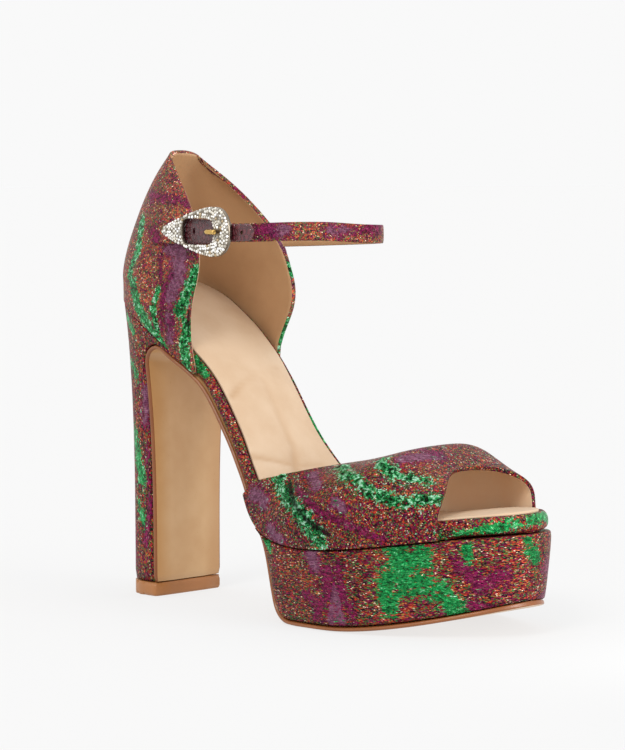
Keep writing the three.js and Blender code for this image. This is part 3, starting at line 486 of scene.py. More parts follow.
def monotone(at: np.ndarray, values: np.ndarray, where: np.ndarray) -> np.ndarray:
    """A cubic through a table's points that never overshoots them.

    Each piece is a Hermite cubic. The tangent at a point is the harmonic mean of the slopes on its
    two sides, or 0 where they differ in sign.

    Args:
        at: the table's places, rising.
        values: the table's values.
        where: places to read.

    Returns:
        The curve's values there.
    """
    slopes = np.diff(values) / np.diff(at)
    product = slopes[:-1] * slopes[1:]
    mean = 2 * product / np.where(product > 0, slopes[:-1] + slopes[1:], 1)
    tangents = np.concatenate(([slopes[0]], np.where(product > 0, mean, 0), [slopes[-1]]))
    i = np.clip(np.searchsorted(at, where) - 1, 0, len(at) - 2)
    width = at[i + 1] - at[i]
    u = np.clip((where - at[i]) / width, 0, 1)
    from_left = (2 * u**3 - 3 * u**2 + 1) * values[i] + (u**3 - 2 * u**2 + u) * width * tangents[i]
    from_right = (3 * u**2 - 2 * u**3) * values[i + 1] + (u**3 - u**2) * width * tangents[i + 1]
    return from_left + from_right


def bell(distance: np.ndarray) -> np.ndarray:
    """A bell curve: e to the minus square of the distance."""
    return np.exp(-(distance**2))


def nearness(
    points: np.ndarray, strokes: Sequence[Stroke], metric: Sequence[float] = (1, 1, 1)
) -> np.ndarray:
    """How near each point lies to given strokes.

    The distance to a stroke is the least over its straight pieces: a point is carried onto the
    piece, held between its ends, and measured from there. Nearness is a bell of that distance over
    the stroke's half width, and the strokes' largest value counts.

    Args:
        points: places in millimetres, one row each.
        strokes: points of each stroke and its half width.
        metric: weights of the three axes in the distance.

    Returns:
        A value from 0 to 1 for each point.
    """
    weights = np.asarray(metric, float)
    scaled = points * weights
    best = np.zeros(len(points))
    for run, width in strokes:
        knots = np.asarray(run, float) * weights
        for start, end in zip(knots[:-1], knots[1:]):
            reach = end - start
            share = np.clip((scaled - start) @ reach / max(reach @ reach, 1e-9), 0, 1)
            gap = np.linalg.norm(scaled - start - share[:, None] * reach, axis=1)
            best = np.maximum(best, bell(gap / width))
    return best


def ruffles(points: np.ndarray, length: float) -> np.ndarray:
    """Small crowded waves, as of cloth drawn up on a thread.

    One sine runs along a slanted direction with its phase pushed about by a longer sine, and it is
    mixed with a second one that runs the other way.

    Args:
        points: places in millimetres.
        length: the waves' length.

    Returns:
        A value from -1 to 1 for each point.
    """
    x, y, z = 2 * math.pi * points.T / length
    first = np.sin(0.8 * x + 0.5 * y - 0.6 * z + 2.2 * np.sin(0.31 * x - 0.37 * z))
    second = np.sin(0.55 * x - 0.7 * y + 0.8 * z + 1.9 * np.sin(0.27 * y + 0.43 * z))
    return 0.6 * first + 0.4 * second


def unit(vectors: np.ndarray) -> np.ndarray:
    """The vectors at length 1."""
    return vectors / np.maximum(np.linalg.norm(vectors, axis=-1, keepdims=True), 1e-9)


def mesh_object(
    name: str, points: np.ndarray, faces: Sequence, finishes: Sequence[Material], smooth: bool = True
) -> Piece:
    """Makes a piece from points in millimetres.

    Args:
        name: the piece's name.
        points: its corners.
        faces: corner numbers of each face.
        finishes: its materials.
        smooth: whether its faces are shaded round.

    Returns:
        The piece, in the scene.
    """
    mesh = bpy.data.meshes.new(name)
    mesh.from_pydata((points * MM).tolist(), [], faces if isinstance(faces, list) else faces.tolist())
    mesh.update()
    for finish in finishes:
        mesh.materials.append(finish)
    mesh.polygons.foreach_set("use_smooth", [smooth] * len(mesh.polygons))
    piece = bpy.data.objects.new(name, mesh)
    bpy.context.scene.collection.objects.link(piece)
    return piece


def grid_faces(rows: int, columns: int, round_rows: bool, round_columns: bool) -> np.ndarray:
    """Quads of a grid of points, numbered row by row.

    Args:
        rows: how many rows of points there are.
        columns: how many points a row has.
        round_rows: whether the last row joins the first.
        round_columns: whether the last column joins the first.

    Returns:
        Four corner numbers for each quad.
    """
    i, j = np.indices((rows - (not round_rows), columns - (not round_columns)))
    row, after_row = i * columns, (i + 1) % rows * columns
    after = (j + 1) % columns
    return np.stack([row + j, row + after, after_row + after, after_row + j], axis=-1).reshape(-1, 4)


def tidy_mesh(piece: Piece) -> None:
    """Merges doubles, drops empty faces and turns every face outwards."""
    work = bmesh.new()
    work.from_mesh(piece.data)
    bmesh.ops.remove_doubles(work, verts=work.verts[:], dist=2e-6)
    bmesh.ops.dissolve_degenerate(work, edges=work.edges[:], dist=1e-7)
    bmesh.ops.recalc_face_normals(work, faces=work.faces[:])
    work.to_mesh(piece.data)
    work.free()
    piece.data.update()


def scatter(
    name: str, shape: np.ndarray, faces: list, places: np.ndarray, axes: np.ndarray, sizes: np.ndarray,
    finish: Material,
) -> Piece:
    """One mesh with a small shape set at many places.

    Each copy's corner is its place plus the shape's three coordinates times the copy's three axes
    and its size. The faces are shaded flat.

    Args:
        name: the piece's name.
        shape: the small shape's corners in millimetres.
        faces: its faces.
        places: the copies' places.
        axes: each copy's three axes, as rows.
        sizes: each copy's size.
        finish: the material.

    Returns:
        The joined copies.
    """
    points = places[:, None] + np.einsum("pa,nab->npb", shape, axes) * sizes[:, None, None]
    starts = range(0, len(places) * len(shape), len(shape))
    joined = [[start + corner for corner in face] for start in starts for face in faces]
    return mesh_object(name, points.reshape(-1, 3), joined, [finish], smooth=False)


def read(items: bpy.types.bpy_prop_collection, name: str, width: int = 1, kind: type = float) -> np.ndarray:
    """One property of a mesh's corners or faces as an array.

    Args:
        items: the mesh's vertices, loops or polygons.
        name: the property.
        width: how many numbers it has.
        kind: the numbers' type.

    Returns:
        A row for each item, or one number each where the width is 1.
    """
    flat = np.zeros(len(items) * width, kind)
    items.foreach_get(name, flat)
    return flat.reshape(-1, width) if width > 1 else flat


def corners(mesh: bpy.types.Mesh) -> np.ndarray:
    """A mesh's corners in millimetres."""
    return read(mesh.vertices, "co", 3) / MM


def mark(piece: Piece, name: str, values: np.ndarray) -> None:
    """Stores a number at each corner of a piece for the materials to read."""
    layer = piece.data.attributes.new(name, "FLOAT", "POINT")
    layer.data.foreach_set("value", np.ascontiguousarray(values, dtype=np.float32))


def fit(piece: Piece, slot: str, *nodes: str) -> Piece:
    """Joins a finished piece to the part: it rides the body and stands for its solids.

    Args:
        piece: the finished piece.
        slot: the slot meant for it; not used.
        nodes: the solids that it stands for.

    Returns:
        The same piece.
    """
    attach(piece, BODY)
    if nodes:
        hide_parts(*nodes)
    stands_for = ", ".join(nodes) or "itself"
    LOG.info("%s: %d faces, stands for %s", piece.name, len(piece.data.polygons), stands_for)
    return piece


# The cloth's figures: strokes laid where the shoe wears them, in millimetres

OUTER_METRIC = (1, 0.8, 1)
INNER_METRIC = (1, 0.25, 1)
INNER_FROM = 4
INNER_FADE = 8


@dataclass(frozen=True)
class Figures:
    """Strokes of cloth figures: crinkled green, mauve satin, magenta outlines, and painted shade in deepest
    folds.
    """

    green: tuple[Stroke, ...] = ()
    mauve: tuple[Stroke, ...] = ()
    pink: tuple[Stroke, ...] = ()
    # The deepest folds, where shade is painted; the vamp also presses them in.
    dark: tuple[Stroke, ...] = ()

    def paint(self, piece: Piece, over: tuple[float, float] = (5, 3)) -> None:
        """Stores how near each corner lies to each colour's strokes.

        The inner side, which the outer side's strokes don't reach, takes the same strokes turned
        over and moved, and there the distance counts less across the shoe, because its sides differ.

        Args:
            piece: the piece to mark.
            over: how far forwards and up the strokes move on the inner side.
        """
        points = corners(piece.data)
        turned = (points - (over[0], 0, over[1])) * (1, -1, 1)
        inner = np.clip((points[:, 1] - INNER_FROM) / INNER_FADE, 0, 1)
        for colour in fields(self):
            strokes = getattr(self, colour.name)
            outer_side = nearness(points, strokes, OUTER_METRIC)
            inner_side = nearness(turned, strokes, INNER_METRIC) * inner
            mark(piece, colour.name, np.maximum(outer_side, inner_side))


UPPER = Figures(
    green=(
        (((4, -18, 153), (7, -24, 141), (3, -26, 131)), 2.9),
        (((7, -27, 127), (11, -27, 118), (17, -27, 110), (24, -25, 102)), 3.6),
        (((23, -28, 126), (20, -28, 118), (22, -27, 109)), 1.6),
        (((43, -25, 134), (38, -26, 125), (34, -27, 117)), 2.9),
        (((38, -26, 112), (36, -26, 104), (37, -25, 96)), 2.8),
        (((93, -31, 55), (101, -36, 50), (109, -39, 46), (116, -40, 42), (124, -40, 34)), 4.2),
        (((117, -21, 61), (124, -26, 60), (128, -31, 58), (136, -33, 58)), 3.0),
        (((136, -33, 57), (145, -33, 53), (156, -31, 51), (166, -22, 52)), 2.8),
        (((138, -21, 65), (143, -24, 62), (150, -25, 60), (159, -19, 59)), 2.8),
    ),
    mauve=(
        (((28, -25, 143), (34, -25, 140), (33, -26, 131), (29, -28, 123)), 4.6),
        (((29, -27, 115), (29, -27, 106)), 2.4),
        (((80, -32, 49), (89, -34, 46)), 3.0),
        (((95, -38, 37), (102, -39, 33)), 2.6),
        (((108, -28, 58), (118, -35, 54)), 2.4),
        (((130, -39, 50), (135, -39, 47)), 2.0),
        (((145, -17, 66), (150, -2, 66)), 3.0),
        (((84, -25, 150), (90, -22, 150)), 2.6),
        (((104, -12, 150), (107, -6, 150)), 2.6),
    ),
    pink=(
        (((7, -16, 163), (20, -20, 162), (32, -20, 160)), 2.2),
        (((13, -22, 149), (25, -26, 146)), 1.8),
        (((22, -26, 138), (26, -28, 122), (24, -27, 109)), 1.5),
        (((105, -34, 53), (117, -38, 48), (128, -40, 44), (150, -35, 37)), 2.0),
        (((124, -14, 67), (140, -6, 68), (156, 2, 66)), 2.0),
        (((76, -26, 150), (84, -25, 150)), 3.0),
        (((110, 0, 150), (112, 8, 150)), 3.0),
        (((30, -27, 132), (24, -28, 120)), 1.4),
        (((35, -26, 121), (28, -28, 110)), 1.4),
    ),
    # Painted shade in the deepest folds of the vamp and the back.
    dark=(
        (((100, -32, 54), (108, -38, 48), (117, -40, 42), (128, -40, 37)), 1.3),
        (((24, -25, 138), (18, -26, 145)), 0.7),
        (((44, -24, 127), (39, -26, 117), (38, -26, 108)), 0.7),
    ),
)
PLATFORM = Figures(
    green=(
        (((155, -32, 33), (160, -30, 28), (164, -28, 31)), 4.6),
        (((152, -33, 23), (151, -33, 17), (152, -32, 11)), 4.2),
        (((157, -30, 19), (164, -27, 21), (170, -24, 19), (174, -20, 11)), 4.4),
        (((156, -31, 28), (157, -30, 20)), 4.4),
        (((178, -19, 35), (179, -18, 30)), 2.1),
        (((191, 0, 36), (193, 4, 30)), 2.8),
        (((88, -36, 37), (95, -38, 28)), 1.8),
    ),
    mauve=(
        (((119, -40, 30), (121, -40, 25)), 3.2),
        (((130, -38, 17), (127, -38, 4)), 1.9),
        (((130, -38, 17), (132, -38, 4)), 1.9),
    ),
    pink=(
        (((128, -39, 24), (126, -39, 15), (120, -38, 5)), 2.6),
        (((131, -38, 26), (133, -38, 16), (138, -37, 5)), 2.2),
        (((176, -20, 28), (182, -14, 20), (187, -8, 24)), 3.6),
        (((168, -26, 8), (178, -18, 13), (186, -10, 10)), 2.6),
        (((115, -39, 14), (121, -39, 10)), 2.4),
    ),
)
RIM = Figures(
    green=(
        (((167, -27, 37), (172, -24, 38), (178, -20, 39), (186, -12, 42), (191, 6, 44), (188, 16, 45)), 2.4),
        (((39, -25, 100), (44, -23, 92)), 2.6),
        (((60, 18, 74), (82, 24, 56)), 3.4),
    ),
)
HEEL = Figures(
    green=(
        (((-3, -22, 113), (3, -23, 108)), 2.4),
        (((-4, -20, 96), (2, -20, 90)), 2.4),
        (((-3, -18, 66), (0, -18, 56), (2, -18, 46)), 3.2),
        (((0, -18, 36), (3, -18, 30)), 2.4),
    ),
    mauve=(
        (((8, -20, 84), (6, -18, 72)), 3.0),
        (((-8, -14, 28), (-6, -14, 16)), 3.0),
    ),
    pink=((((6, -20, 60), (8, -19, 40), (4, -18, 20)), 1.8),),
)
TAB = Figures(pink=((((16, -26, 150), (20, -27, 145)), 3.0),))


# Skins over the solids

Rule = Callable[[np.ndarray, np.ndarray], np.ndarray]
MERGE = 1e-5


class Cover:
    """A smooth skin over one of the solids, whose corners can be moved and faces dressed."""

    def __init__(self, node: str, name: str, sharp: float, hold: float) -> None:
        """Merges a copy of the solid and joins its triangles to quads.

        Args:
            node: the solid's name.
            name: the new piece's name.
            sharp: edges that turn by more degrees than this stay edges.
            hold: how firmly they are held when the skin is smoothed, up to 1.
        """
        mesh = bpy.data.meshes.new(name)
        work = bmesh.new()
        work.from_mesh(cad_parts[node].data)
        bmesh.ops.remove_doubles(work, verts=work.verts[:], dist=MERGE)
        flat, square = math.radians(20), math.radians(75)
        bmesh.ops.join_triangles(
            work, faces=work.faces[:], angle_face_threshold=flat, angle_shape_threshold=square,
            cmp_seam=False, cmp_sharp=False, cmp_uvs=False, cmp_vcols=False, cmp_materials=False,
        )
        crease = work.edges.layers.float.new("crease_edge")
        for edge in work.edges:
            if len(edge.link_faces) == 2 and edge.calc_face_angle() > math.radians(sharp):
                edge[crease] = hold
        held = [[edge for edge in face.edges if edge[crease] > 0] for face in work.faces]
        self.strips = np.array([self.between_edges(edges) for edges in held])
        work.to_mesh(mesh)
        work.free()
        self.drop_attributes(mesh, "custom_normal", "sharp_edge", "sharp_face")
        mesh.materials.clear()
        self.piece = bpy.data.objects.new(name, mesh)
        bpy.context.scene.collection.objects.link(self.piece)

    @staticmethod
    def drop_attributes(mesh: bpy.types.Mesh, *names: str) -> None:
        """Removes those of the named attributes that the mesh has."""
        for name in names:
            if name in mesh.attributes:
                mesh.attributes.remove(mesh.attributes[name])

    @staticmethod
    def between_edges(held: list) -> bool:
        """Whether two of a face's held edges share no corner, as on a wall's rim."""
        return any(not set(a.verts) & set(b.verts) for a in held for b in held if a is not b)

    def sides(self, finishes: Sequence[Material], chooser: Rule | None = None) -> "Cover":
        """Gives each face one of the finishes.

        Args:
            finishes: the materials.
            chooser: from the faces' middles in millimetres and their directions to finish numbers.
                Without it every face takes the first.

        Returns:
            The same cover.
        """
        mesh = self.piece.data
        for finish in finishes:
            mesh.materials.append(finish)
        if chooser is not None:
            chosen = chooser(read(mesh.polygons, "center", 3) / MM, read(mesh.polygons, "normal", 3))
            mesh.polygons.foreach_set("material_index", chosen.astype(np.int32))
        return self

    def refine(self, levels: int) -> "Cover":
        """Smooths the skin.

        Args:
            levels: how often every face is cut in four, rounding what isn't held.

        Returns:
            The same cover.
        """
        smoothing = self.piece.modifiers.new("smooth", "SUBSURF")
        smoothing.levels = smoothing.render_levels = levels
        graph = bpy.context.evaluated_depsgraph_get()
        graph.update()
        finer = bpy.data.meshes.new_from_object(self.piece.evaluated_get(graph))
        coarse, name = self.piece.data, self.piece.data.name
        self.piece.modifiers.clear()
        self.piece.data = finer
        bpy.data.meshes.remove(coarse)
        finer.name = name
        finer.polygons.foreach_set("use_smooth", [True] * len(finer.polygons))
        self.drop_attributes(finer, "crease_edge")
        return self

    def border(self, strip: int, beside: int, line: int) -> "Cover":
        """Turns the strip's faces that share an edge with another finish into a line of a third one.

        Args:
            strip: the strip's finish number.
            beside: the finish that it meets.
            line: the finish of the line.

        Returns:
            The same cover.
        """
        mesh = self.piece.data
        chosen = read(mesh.polygons, "material_index", kind=np.int32)
        totals = read(mesh.polygons, "loop_total", kind=np.int32)
        corner = read(mesh.loops, "vertex_index", kind=np.int32)
        face_of = np.repeat(np.arange(len(totals)), totals)
        touched = np.zeros(len(mesh.vertices), bool)
        touched[corner[chosen[face_of] == beside]] = True
        count = np.bincount(face_of, weights=touched[corner])
        chosen[(chosen == strip) & (count >= 2)] = line
        mesh.polygons.foreach_set("material_index", chosen)
        return self

    def move_to(self, places: np.ndarray) -> "Cover":
        """Puts the corners at places in millimetres."""
        self.piece.data.vertices.foreach_set("co", (places * MM).ravel())
        self.piece.data.update()
        return self

    def press(self, height: Rule) -> "Cover":
        """Moves each corner along its direction.

        Args:
            height: from the corners and their directions to millimetres out.

        Returns:
            The same cover.
        """
        points, normals = corners(self.piece.data), read(self.piece.data.vertices, "normal", 3)
        return self.move_to(points + normals * height(points, normals)[:, None])


def dress(
    node: str, name: str, slot: str, finish: Material, figures: Figures | None = None, sharp: float = 50,
    hold: float = 0.85, levels: int = 2, move: Callable[[np.ndarray], np.ndarray] | None = None,
) -> None:
    """Covers a solid in one finish and joins the piece to the part.

    Args:
        node: the solid's name.
        name: the new piece's name.
        slot: the slot meant for it, passed to fit; not used.
        finish: its material.
        figures: the cloth's figures on it.
        sharp: edges that turn by more degrees than this stay edges.
        hold: how firmly they are held when the skin is smoothed, up to 1.
        levels: how often it is smoothed.
        move: from the corners' places to new ones, in millimetres.
    """
    cover = Cover(node, name, sharp, hold).sides([finish]).refine(levels)
    if move is not None:
        cover.move_to(move(corners(cover.piece.data)))
    if figures is not None:
        figures.paint(cover.piece)
    fit(cover.piece, slot, node)


# Sub-assemblies


def made(finish: Brocade | Leather | Metal | Stone) -> Material:
    """A field whose material is made when the object that holds it is."""
    return field(default_factory=finish.make)


@dataclass
class Wardrobe:
    """The finishes of the whole shoe, each made once."""

    upper: Material = made(Brocade("upper_brocade", (1, 1, 1.15), pucker=1.8, deep=0.6, contrast=1.35))
    # The back wears a lit copy of the cloth: painted light pales its ground, and its painted shadow is
    # weaker.
    back: Material = made(Brocade("back_brocade", (1, 1, 1.15), pucker=1.2, deep=0.25, lift=0.08, tear=1.1))
    platform: Material = made(Brocade("platform_brocade", (0.6, 0.6, 1.7), crimp=0.9, contrast=0.6))
    heel: Material = made(Brocade("heel_brocade", (1.1, 1.1, 0.8), contrast=0.7))
    rim: Material = made(Brocade("rim_brocade", (0.9, 0.9, 1.2), contrast=0.7))
    lining: Material = made(Leather("lining_leather", "b8916a", "9c7450", 0.5, 2.6, 0.05))
    # A paler copy of the lining for inside the peep: painted light where the peep's inside is lit.
    vamp_lining: Material = made(Leather("vamp_lining", "fde2c2", "f4ca9e", 0.5, 2.6, 0.04))
    edge_line: Material = made(Leather("edge_lining", "dcae94", "c59077", 0.55, 3.0, 0.04))
    sock: Material = made(Leather("sock_leather", "c2a98e", "ab8a68", 0.5, 2.2, 0.06, shaded=True))
    breast: Material = made(Leather("sole_leather", "d0ac80", "b68754", 0.3, 1.4, 0.03, shaded=True))
    sole_edge: Material = made(Leather("sole_edge", "8c542c", "6a3818", 0.34, 1.8, 0.05))
    rubber: Material = made(Leather("top_piece_rubber", "a97040", "8a5828", 0.42, 1.2, 0.08))
    croc: Material = made(
        Leather("billet_croc", "64262f", "1c070d", 0.2, 0.5, 0.6, Grain.SCALES, mottle=0.3, coat=0.7)
    )
    setting: Material = made(Metal("pale_setting", "8f8577", 0.3))
    stones: Material = made(Stone("clear_stones"))
    gold: Material = made(Metal("gold_metal", "d9b36a", 0.2))


@dataclass
class Last:
    """The tread line and insole outline that the sock is cut to, sizes in millimetres."""

    length: float = 240
    ball_width: float = 76.2
    seat_height: float = 131
    fall: float = 92.4
    setback: float = 15.2
    steps: int = 480
    table: np.ndarray = field(init=False)
    along: np.ndarray = field(init=False)
    line: np.ndarray = field(init=False)

    def __post_init__(self) -> None:
        """Sums the tread line, steep enough to fall from the seat to the ball.

        Each step goes forward by the cosine and down by the sine of the mean slope at its ends, and
        the steepest slope is halved into place until the lowest point lies the fall below the seat.
        The table's rows give a share of the length, the pitch there as a share of the steepest, and
        the outer and inner half widths as shares of the ball's width.
        """
        self.table = np.array(
            [
                (0, 0.25, 0, 0), (0.025, 0.32, 0.155, 0.168), (0.0625, 0.43, 0.258, 0.275),
                (0.125, 0.566, 0.32, 0.325), (0.1875, 0.614, 0.323, 0.319), (0.25, 0.7, 0.3, 0.294),
                (0.3333, 0.955, 0.276, 0.27), (0.4167, 1, 0.287, 0.26), (0.5, 0.88, 0.338, 0.288),
                (0.5417, 0.747, 0.378, 0.314), (0.5833, 0.51, 0.419, 0.347), (0.6458, 0.156, 0.475, 0.439),
                (0.7083, -0.043, 0.489, 0.506), (0.7917, -0.137, 0.449, 0.516), (0.875, -0.152, 0.346, 0.45),
                (0.9375, -0.122, 0.232, 0.35), (0.9792, -0.095, 0.12, 0.225), (1, -0.08, -0.06, 0.06),
            ]
        )
        self.along = np.linspace(0, self.length, self.steps + 1)
        pitch = monotone(self.table[:, 0], self.table[:, 1], self.along / self.length)
        low, high = 0.1, 1.5
        for _ in range(50):
            slope = (low + high) / 2 * pitch
            mean = (slope[1:] + slope[:-1]) / 2
            forward = np.concatenate(([0], np.cumsum(np.cos(mean)))) * self.length / self.steps
            height = -np.concatenate(([0], np.cumsum(np.sin(mean)))) * self.length / self.steps
            low, high = (low, slope.max()) if -height.min() > self.fall else (slope.max(), high)
        self.line = np.stack([forward - self.setback, height + self.seat_height, slope], axis=1)

    def tread(self, length: np.ndarray, over: np.ndarray) -> tuple[np.ndarray, np.ndarray]:
        """The x and z of places over the insole, from their lengths along it and heights over it."""
        x, z, slope = (np.interp(length, self.along, self.line[:, i]) for i in range(3))
        return x + over * np.sin(slope), z + over * np.cos(slope)

    def half_width(self, station: np.ndarray, inner: bool) -> np.ndarray:
        """The outline's distance from the middle, by station: a length's share follows a cosine."""
        stations = np.arccos(1 - 2 * self.table[:, 0]) / math.pi
        return self.ball_width * monotone(stations, self.table[:, 3 if inner else 2], station)


@dataclass
class Insole:
    """The board's cloth-wrapped rim and the padded sock on it."""

    last: Last
    edge: float = 0.9
    roll: float = 1.1
    crown: float = 1.3
    crown_power: float = 2.6
    crown_from: float = 22
    ends_power: float = 0.6
    fade_power: float = 6
    lip: float = 0.5
    sunk: float = 0.4
    under: float = 1.0
    swell_height: float = 0.6
    fold_depth: float = 1.1
    # How dark the painted shade along the sock's folds is.
    fold_shade: float = 0.75
    rows: int = 230
    columns: int = 61
    folds: tuple[Stroke, ...] = (
        (((55, -18, 84), (51, -9, 88), (49, 0, 90), (47, 14, 92)), 1.5),
        (((71, -24, 62), (73, -14, 59), (76, -4, 56), (77, 10, 55)), 1.7),
        (((96, -30, 44), (88, -12, 47), (70, 0, 62), (50, 2, 88)), 2.2),
    )
    swells: tuple[Stroke, ...] = (
        (((58, -16, 79), (54, -2, 83), (51, 14, 87)), 3.4),
        (((76, -20, 57), (79, -8, 54), (80, 8, 54)), 3.4),
        (((10, -8, 122), (20, 0, 118), (30, 4, 110)), 8.0),
    )

    def build(self, wardrobe: Wardrobe) -> None:
        """Makes and dresses the rim and the sock."""
        dress("insole_board", "insole_rim", "rim_brocade", wardrobe.rim, RIM, hold=0.5)
        self.sock(wardrobe)

    def sock(self, wardrobe: Wardrobe) -> Piece:
        """The padded sock.

        A point's length along the insole goes by a cosine of its row's share, and its side goes
        from the outer to the inner outline as its column goes from -1 to 1. It stands over the
        tread by a crown, 1 less a power of the column, rolled off within the edge, less a bell for
        each fold and more for each swell. A second sheet under it shuts the form. Shade is painted along the
        folds.

        Args:
            wardrobe: the finishes.

        Returns:
            The sock.
        """
        station = np.linspace(0, 1, self.rows)[:, None]
        across = np.sin(np.linspace(-1, 1, self.columns) * math.pi / 2)[None, :]
        length = self.edge + (self.last.length - 2 * self.edge) * (1 - np.cos(math.pi * station)) / 2
        to_end = np.minimum(length, self.last.length - length)
        outer = self.last.half_width(station[:, 0], False)[:, None]
        inner = self.last.half_width(station[:, 0], True)[:, None]
        half = np.maximum((outer + inner) / 2 - self.edge, 0)
        side = (inner - outer) / 2 + half * across

        def sheet(over: np.ndarray) -> np.ndarray:
            """The grid's places at heights over the tread."""
            x, z = self.last.tread(length + 0 * across, over)
            return np.stack([x, side, z], axis=-1)

        inset = np.minimum(half * (1 - np.abs(across)), to_end - self.edge)
        rolled = np.sqrt(1 - (1 - np.clip(inset / self.roll, 0, 1)) ** 2)
        ends = np.clip(to_end / self.crown_from, 0, 1) ** self.ends_power
        full = self.crown * (1 - np.abs(across) ** self.crown_power) * ends * rolled
        over = rolled * self.lip - self.sunk + full
        flat = sheet(over).reshape(-1, 3)
        fade = rolled * (1 - np.abs(across) ** self.fade_power)
        shift = self.swell_height * nearness(flat, self.swells) - self.fold_depth * nearness(flat, self.folds)
        top = sheet(over + shift.reshape(over.shape) * fade)
        around = np.concatenate([top, sheet(np.full(over.shape, -self.under))[:, ::-1]], axis=1)
        faces = grid_faces(self.rows, around.shape[1], False, True)
        piece = mesh_object("sock_pad", around.reshape(-1, 3), faces, [wardrobe.sock])
        tidy_mesh(piece)
        # Painted shade: the sock is darkened along its folds.
        mark(piece, "deep", self.fold_shade * nearness(corners(piece.data), self.folds))
        return fit(piece, "sock_leather", "sock")


@dataclass
class UpperHalf:
    """What both halves of the upper share: an axis that their lining looks at, and pressed folds."""

    axis: tuple[float, float, float]
    across: tuple[float, float, float]
    swell_height: float
    pucker_depth: float
    swells: tuple[Stroke, ...]
    puckers: tuple[Stroke, ...]

    def outward(self, points: np.ndarray, directions: np.ndarray) -> np.ndarray:
        """How squarely places look away from the axis: 1 straight away, -1 straight at it."""
        return np.einsum("ij,ij->i", unit((points - self.axis) * self.across), directions)

    def folds(self, points: np.ndarray) -> np.ndarray:
        """Swells less puckers, in millimetres out."""
        swelled = self.swell_height * nearness(points, self.swells)
        return swelled - self.pucker_depth * nearness(points, self.puckers)

    def relief(self, points: np.ndarray, directions: np.ndarray) -> np.ndarray:
        """The folds where the surface looks outwards, fading to none where it is square to that."""
        return np.clip(self.outward(points, directions) * 3 - 1, 0, 1) * self.folds(points)


@dataclass
class Vamp(UpperHalf):
    """The peep-toe vamp: cloth outside and over its edges, inside a paler lining with painted light."""

    axis: tuple[float, float, float] = (0, 3, 40)
    across: tuple[float, float, float] = (0, 1, 1)
    swell_height: float = 0.75
    pucker_depth: float = 0.9
    ruffle_height: float = 0.42
    ruffle_length: float = 3.1
    dark_depth: float = 0.7
    foot: float = 34
    over_foot: float = 6
    at_foot: float = 0.2
    over: tuple[float, float] = (-26, 3)
    lined_from: float = 0.1
    puckers: tuple[Stroke, ...] = (
        (((91, -32, 54), (98, -36, 49), (106, -39, 44), (113, -41, 38), (118, -41, 32)), 1.5),
        (((106, -30, 57), (112, -36, 52), (121, -40, 46), (133, -40, 42)), 1.4),
        (((120, -20, 63), (131, -28, 60), (141, -31, 57)), 1.2),
        (((141, -19, 64), (152, -22, 60), (161, -17, 59)), 1.2),
    )
    swells: tuple[Stroke, ...] = (
        (((96, -31, 54), (104, -36, 50), (111, -39, 46), (119, -41, 40), (124, -41, 34)), 2.4),
        (((117, -22, 62), (125, -27, 60), (135, -33, 58), (146, -33, 54), (158, -30, 51)), 1.8),
        (((139, -21, 65), (149, -24, 61), (158, -19, 60)), 1.8),
        (((90, -20, 60), (96, -6, 64), (98, 8, 64)), 4.0),
    )

    def build(self, wardrobe: Wardrobe) -> None:
        """Makes and dresses the vamp."""

        def inside(middles: np.ndarray, directions: np.ndarray) -> np.ndarray:
            """Lining where a face looks at the tunnel's axis, but not on the wall's edges."""
            lined = (self.outward(middles, directions) < -self.lined_from) & ~cover.strips
            return np.where(lined, UpperFace.LINING, UpperFace.CLOTH)

        cover = Cover("vamp", "vamp_cover", 45, 0.8)
        cover.sides([wardrobe.upper, wardrobe.vamp_lining], inside).refine(3).press(self.relief)
        UPPER.paint(cover.piece, self.over)
        fit(cover.piece, "upper_brocade", "vamp")

    def folds(self, points: np.ndarray) -> np.ndarray:
        """Folds, ruffled green figures and the deepest folds, less of all near the vamp's foot."""
        foot = np.clip((points[:, 2] - self.foot) / self.over_foot, self.at_foot, 1)
        ruffled = self.ruffle_height * nearness(points, UPPER.green) * ruffles(points, self.ruffle_length)
        return foot * (super().folds(points) + ruffled - self.dark_depth * nearness(points, UPPER.dark))


@dataclass
class ClosedBack(UpperHalf):
    """The closed back and its ankle strap in one piece, lined with leather."""

    axis: tuple[float, float, float] = (46, 0, 140)
    across: tuple[float, float, float] = (1, 1, 0)
    swell_height: float = 0.45
    pucker_depth: float = 0.5
    steep: float = 0.4
    peak_steep: float = 0.1
    peak_from: float = 160
    strap_from: float = 62
    outer_side: float = -4
    wall_lined_from: float = 0.2
    edge_lined_from: float = 0.8
    swells: tuple[Stroke, ...] = (
        (((6, -25, 146), (12, -28, 128), (20, -28, 112)), 3.2),
        (((34, -27, 138), (30, -29, 124), (30, -28, 108)), 3.4),
    )
    puckers: tuple[Stroke, ...] = (
        (((14, -26, 146), (22, -28, 132), (25, -29, 118), (24, -28, 106)), 1.9),
        (((44, -24, 136), (38, -27, 124), (36, -27, 112)), 1.8),
    )

    def build(self, wardrobe: Wardrobe) -> None:
        """Makes and dresses the back, and the line where lining and cloth meet at its edge."""

        def inside(middles: np.ndarray, directions: np.ndarray) -> np.ndarray:
            """Lining where a face looks inwards, the outer side's edges on their own, cloth elsewhere."""
            high = middles[:, 2] > self.peak_from
            edge = cover.strips & ~high & (middles[:, 0] < self.strap_from)
            least = np.where(edge, self.edge_lined_from, self.wall_lined_from)
            upright = directions[:, 2] < np.where(high, self.peak_steep, self.steep)
            lined = (-self.outward(middles, directions) > least) & upright
            rim = cover.strips & (middles[:, 1] < self.outer_side)
            return np.where(lined, UpperFace.LINING, np.where(rim, UpperFace.RIM, UpperFace.CLOTH))

        cover = Cover("quarters_and_strap", "closed_back", 45, 0.8)
        cover.sides([wardrobe.back, wardrobe.lining, wardrobe.back, wardrobe.edge_line], inside)
        cover.refine(2).border(UpperFace.RIM, UpperFace.LINING, UpperFace.LINE).press(self.relief)
        UPPER.paint(cover.piece)
        fit(cover.piece, "upper_brocade", "quarters_and_strap")


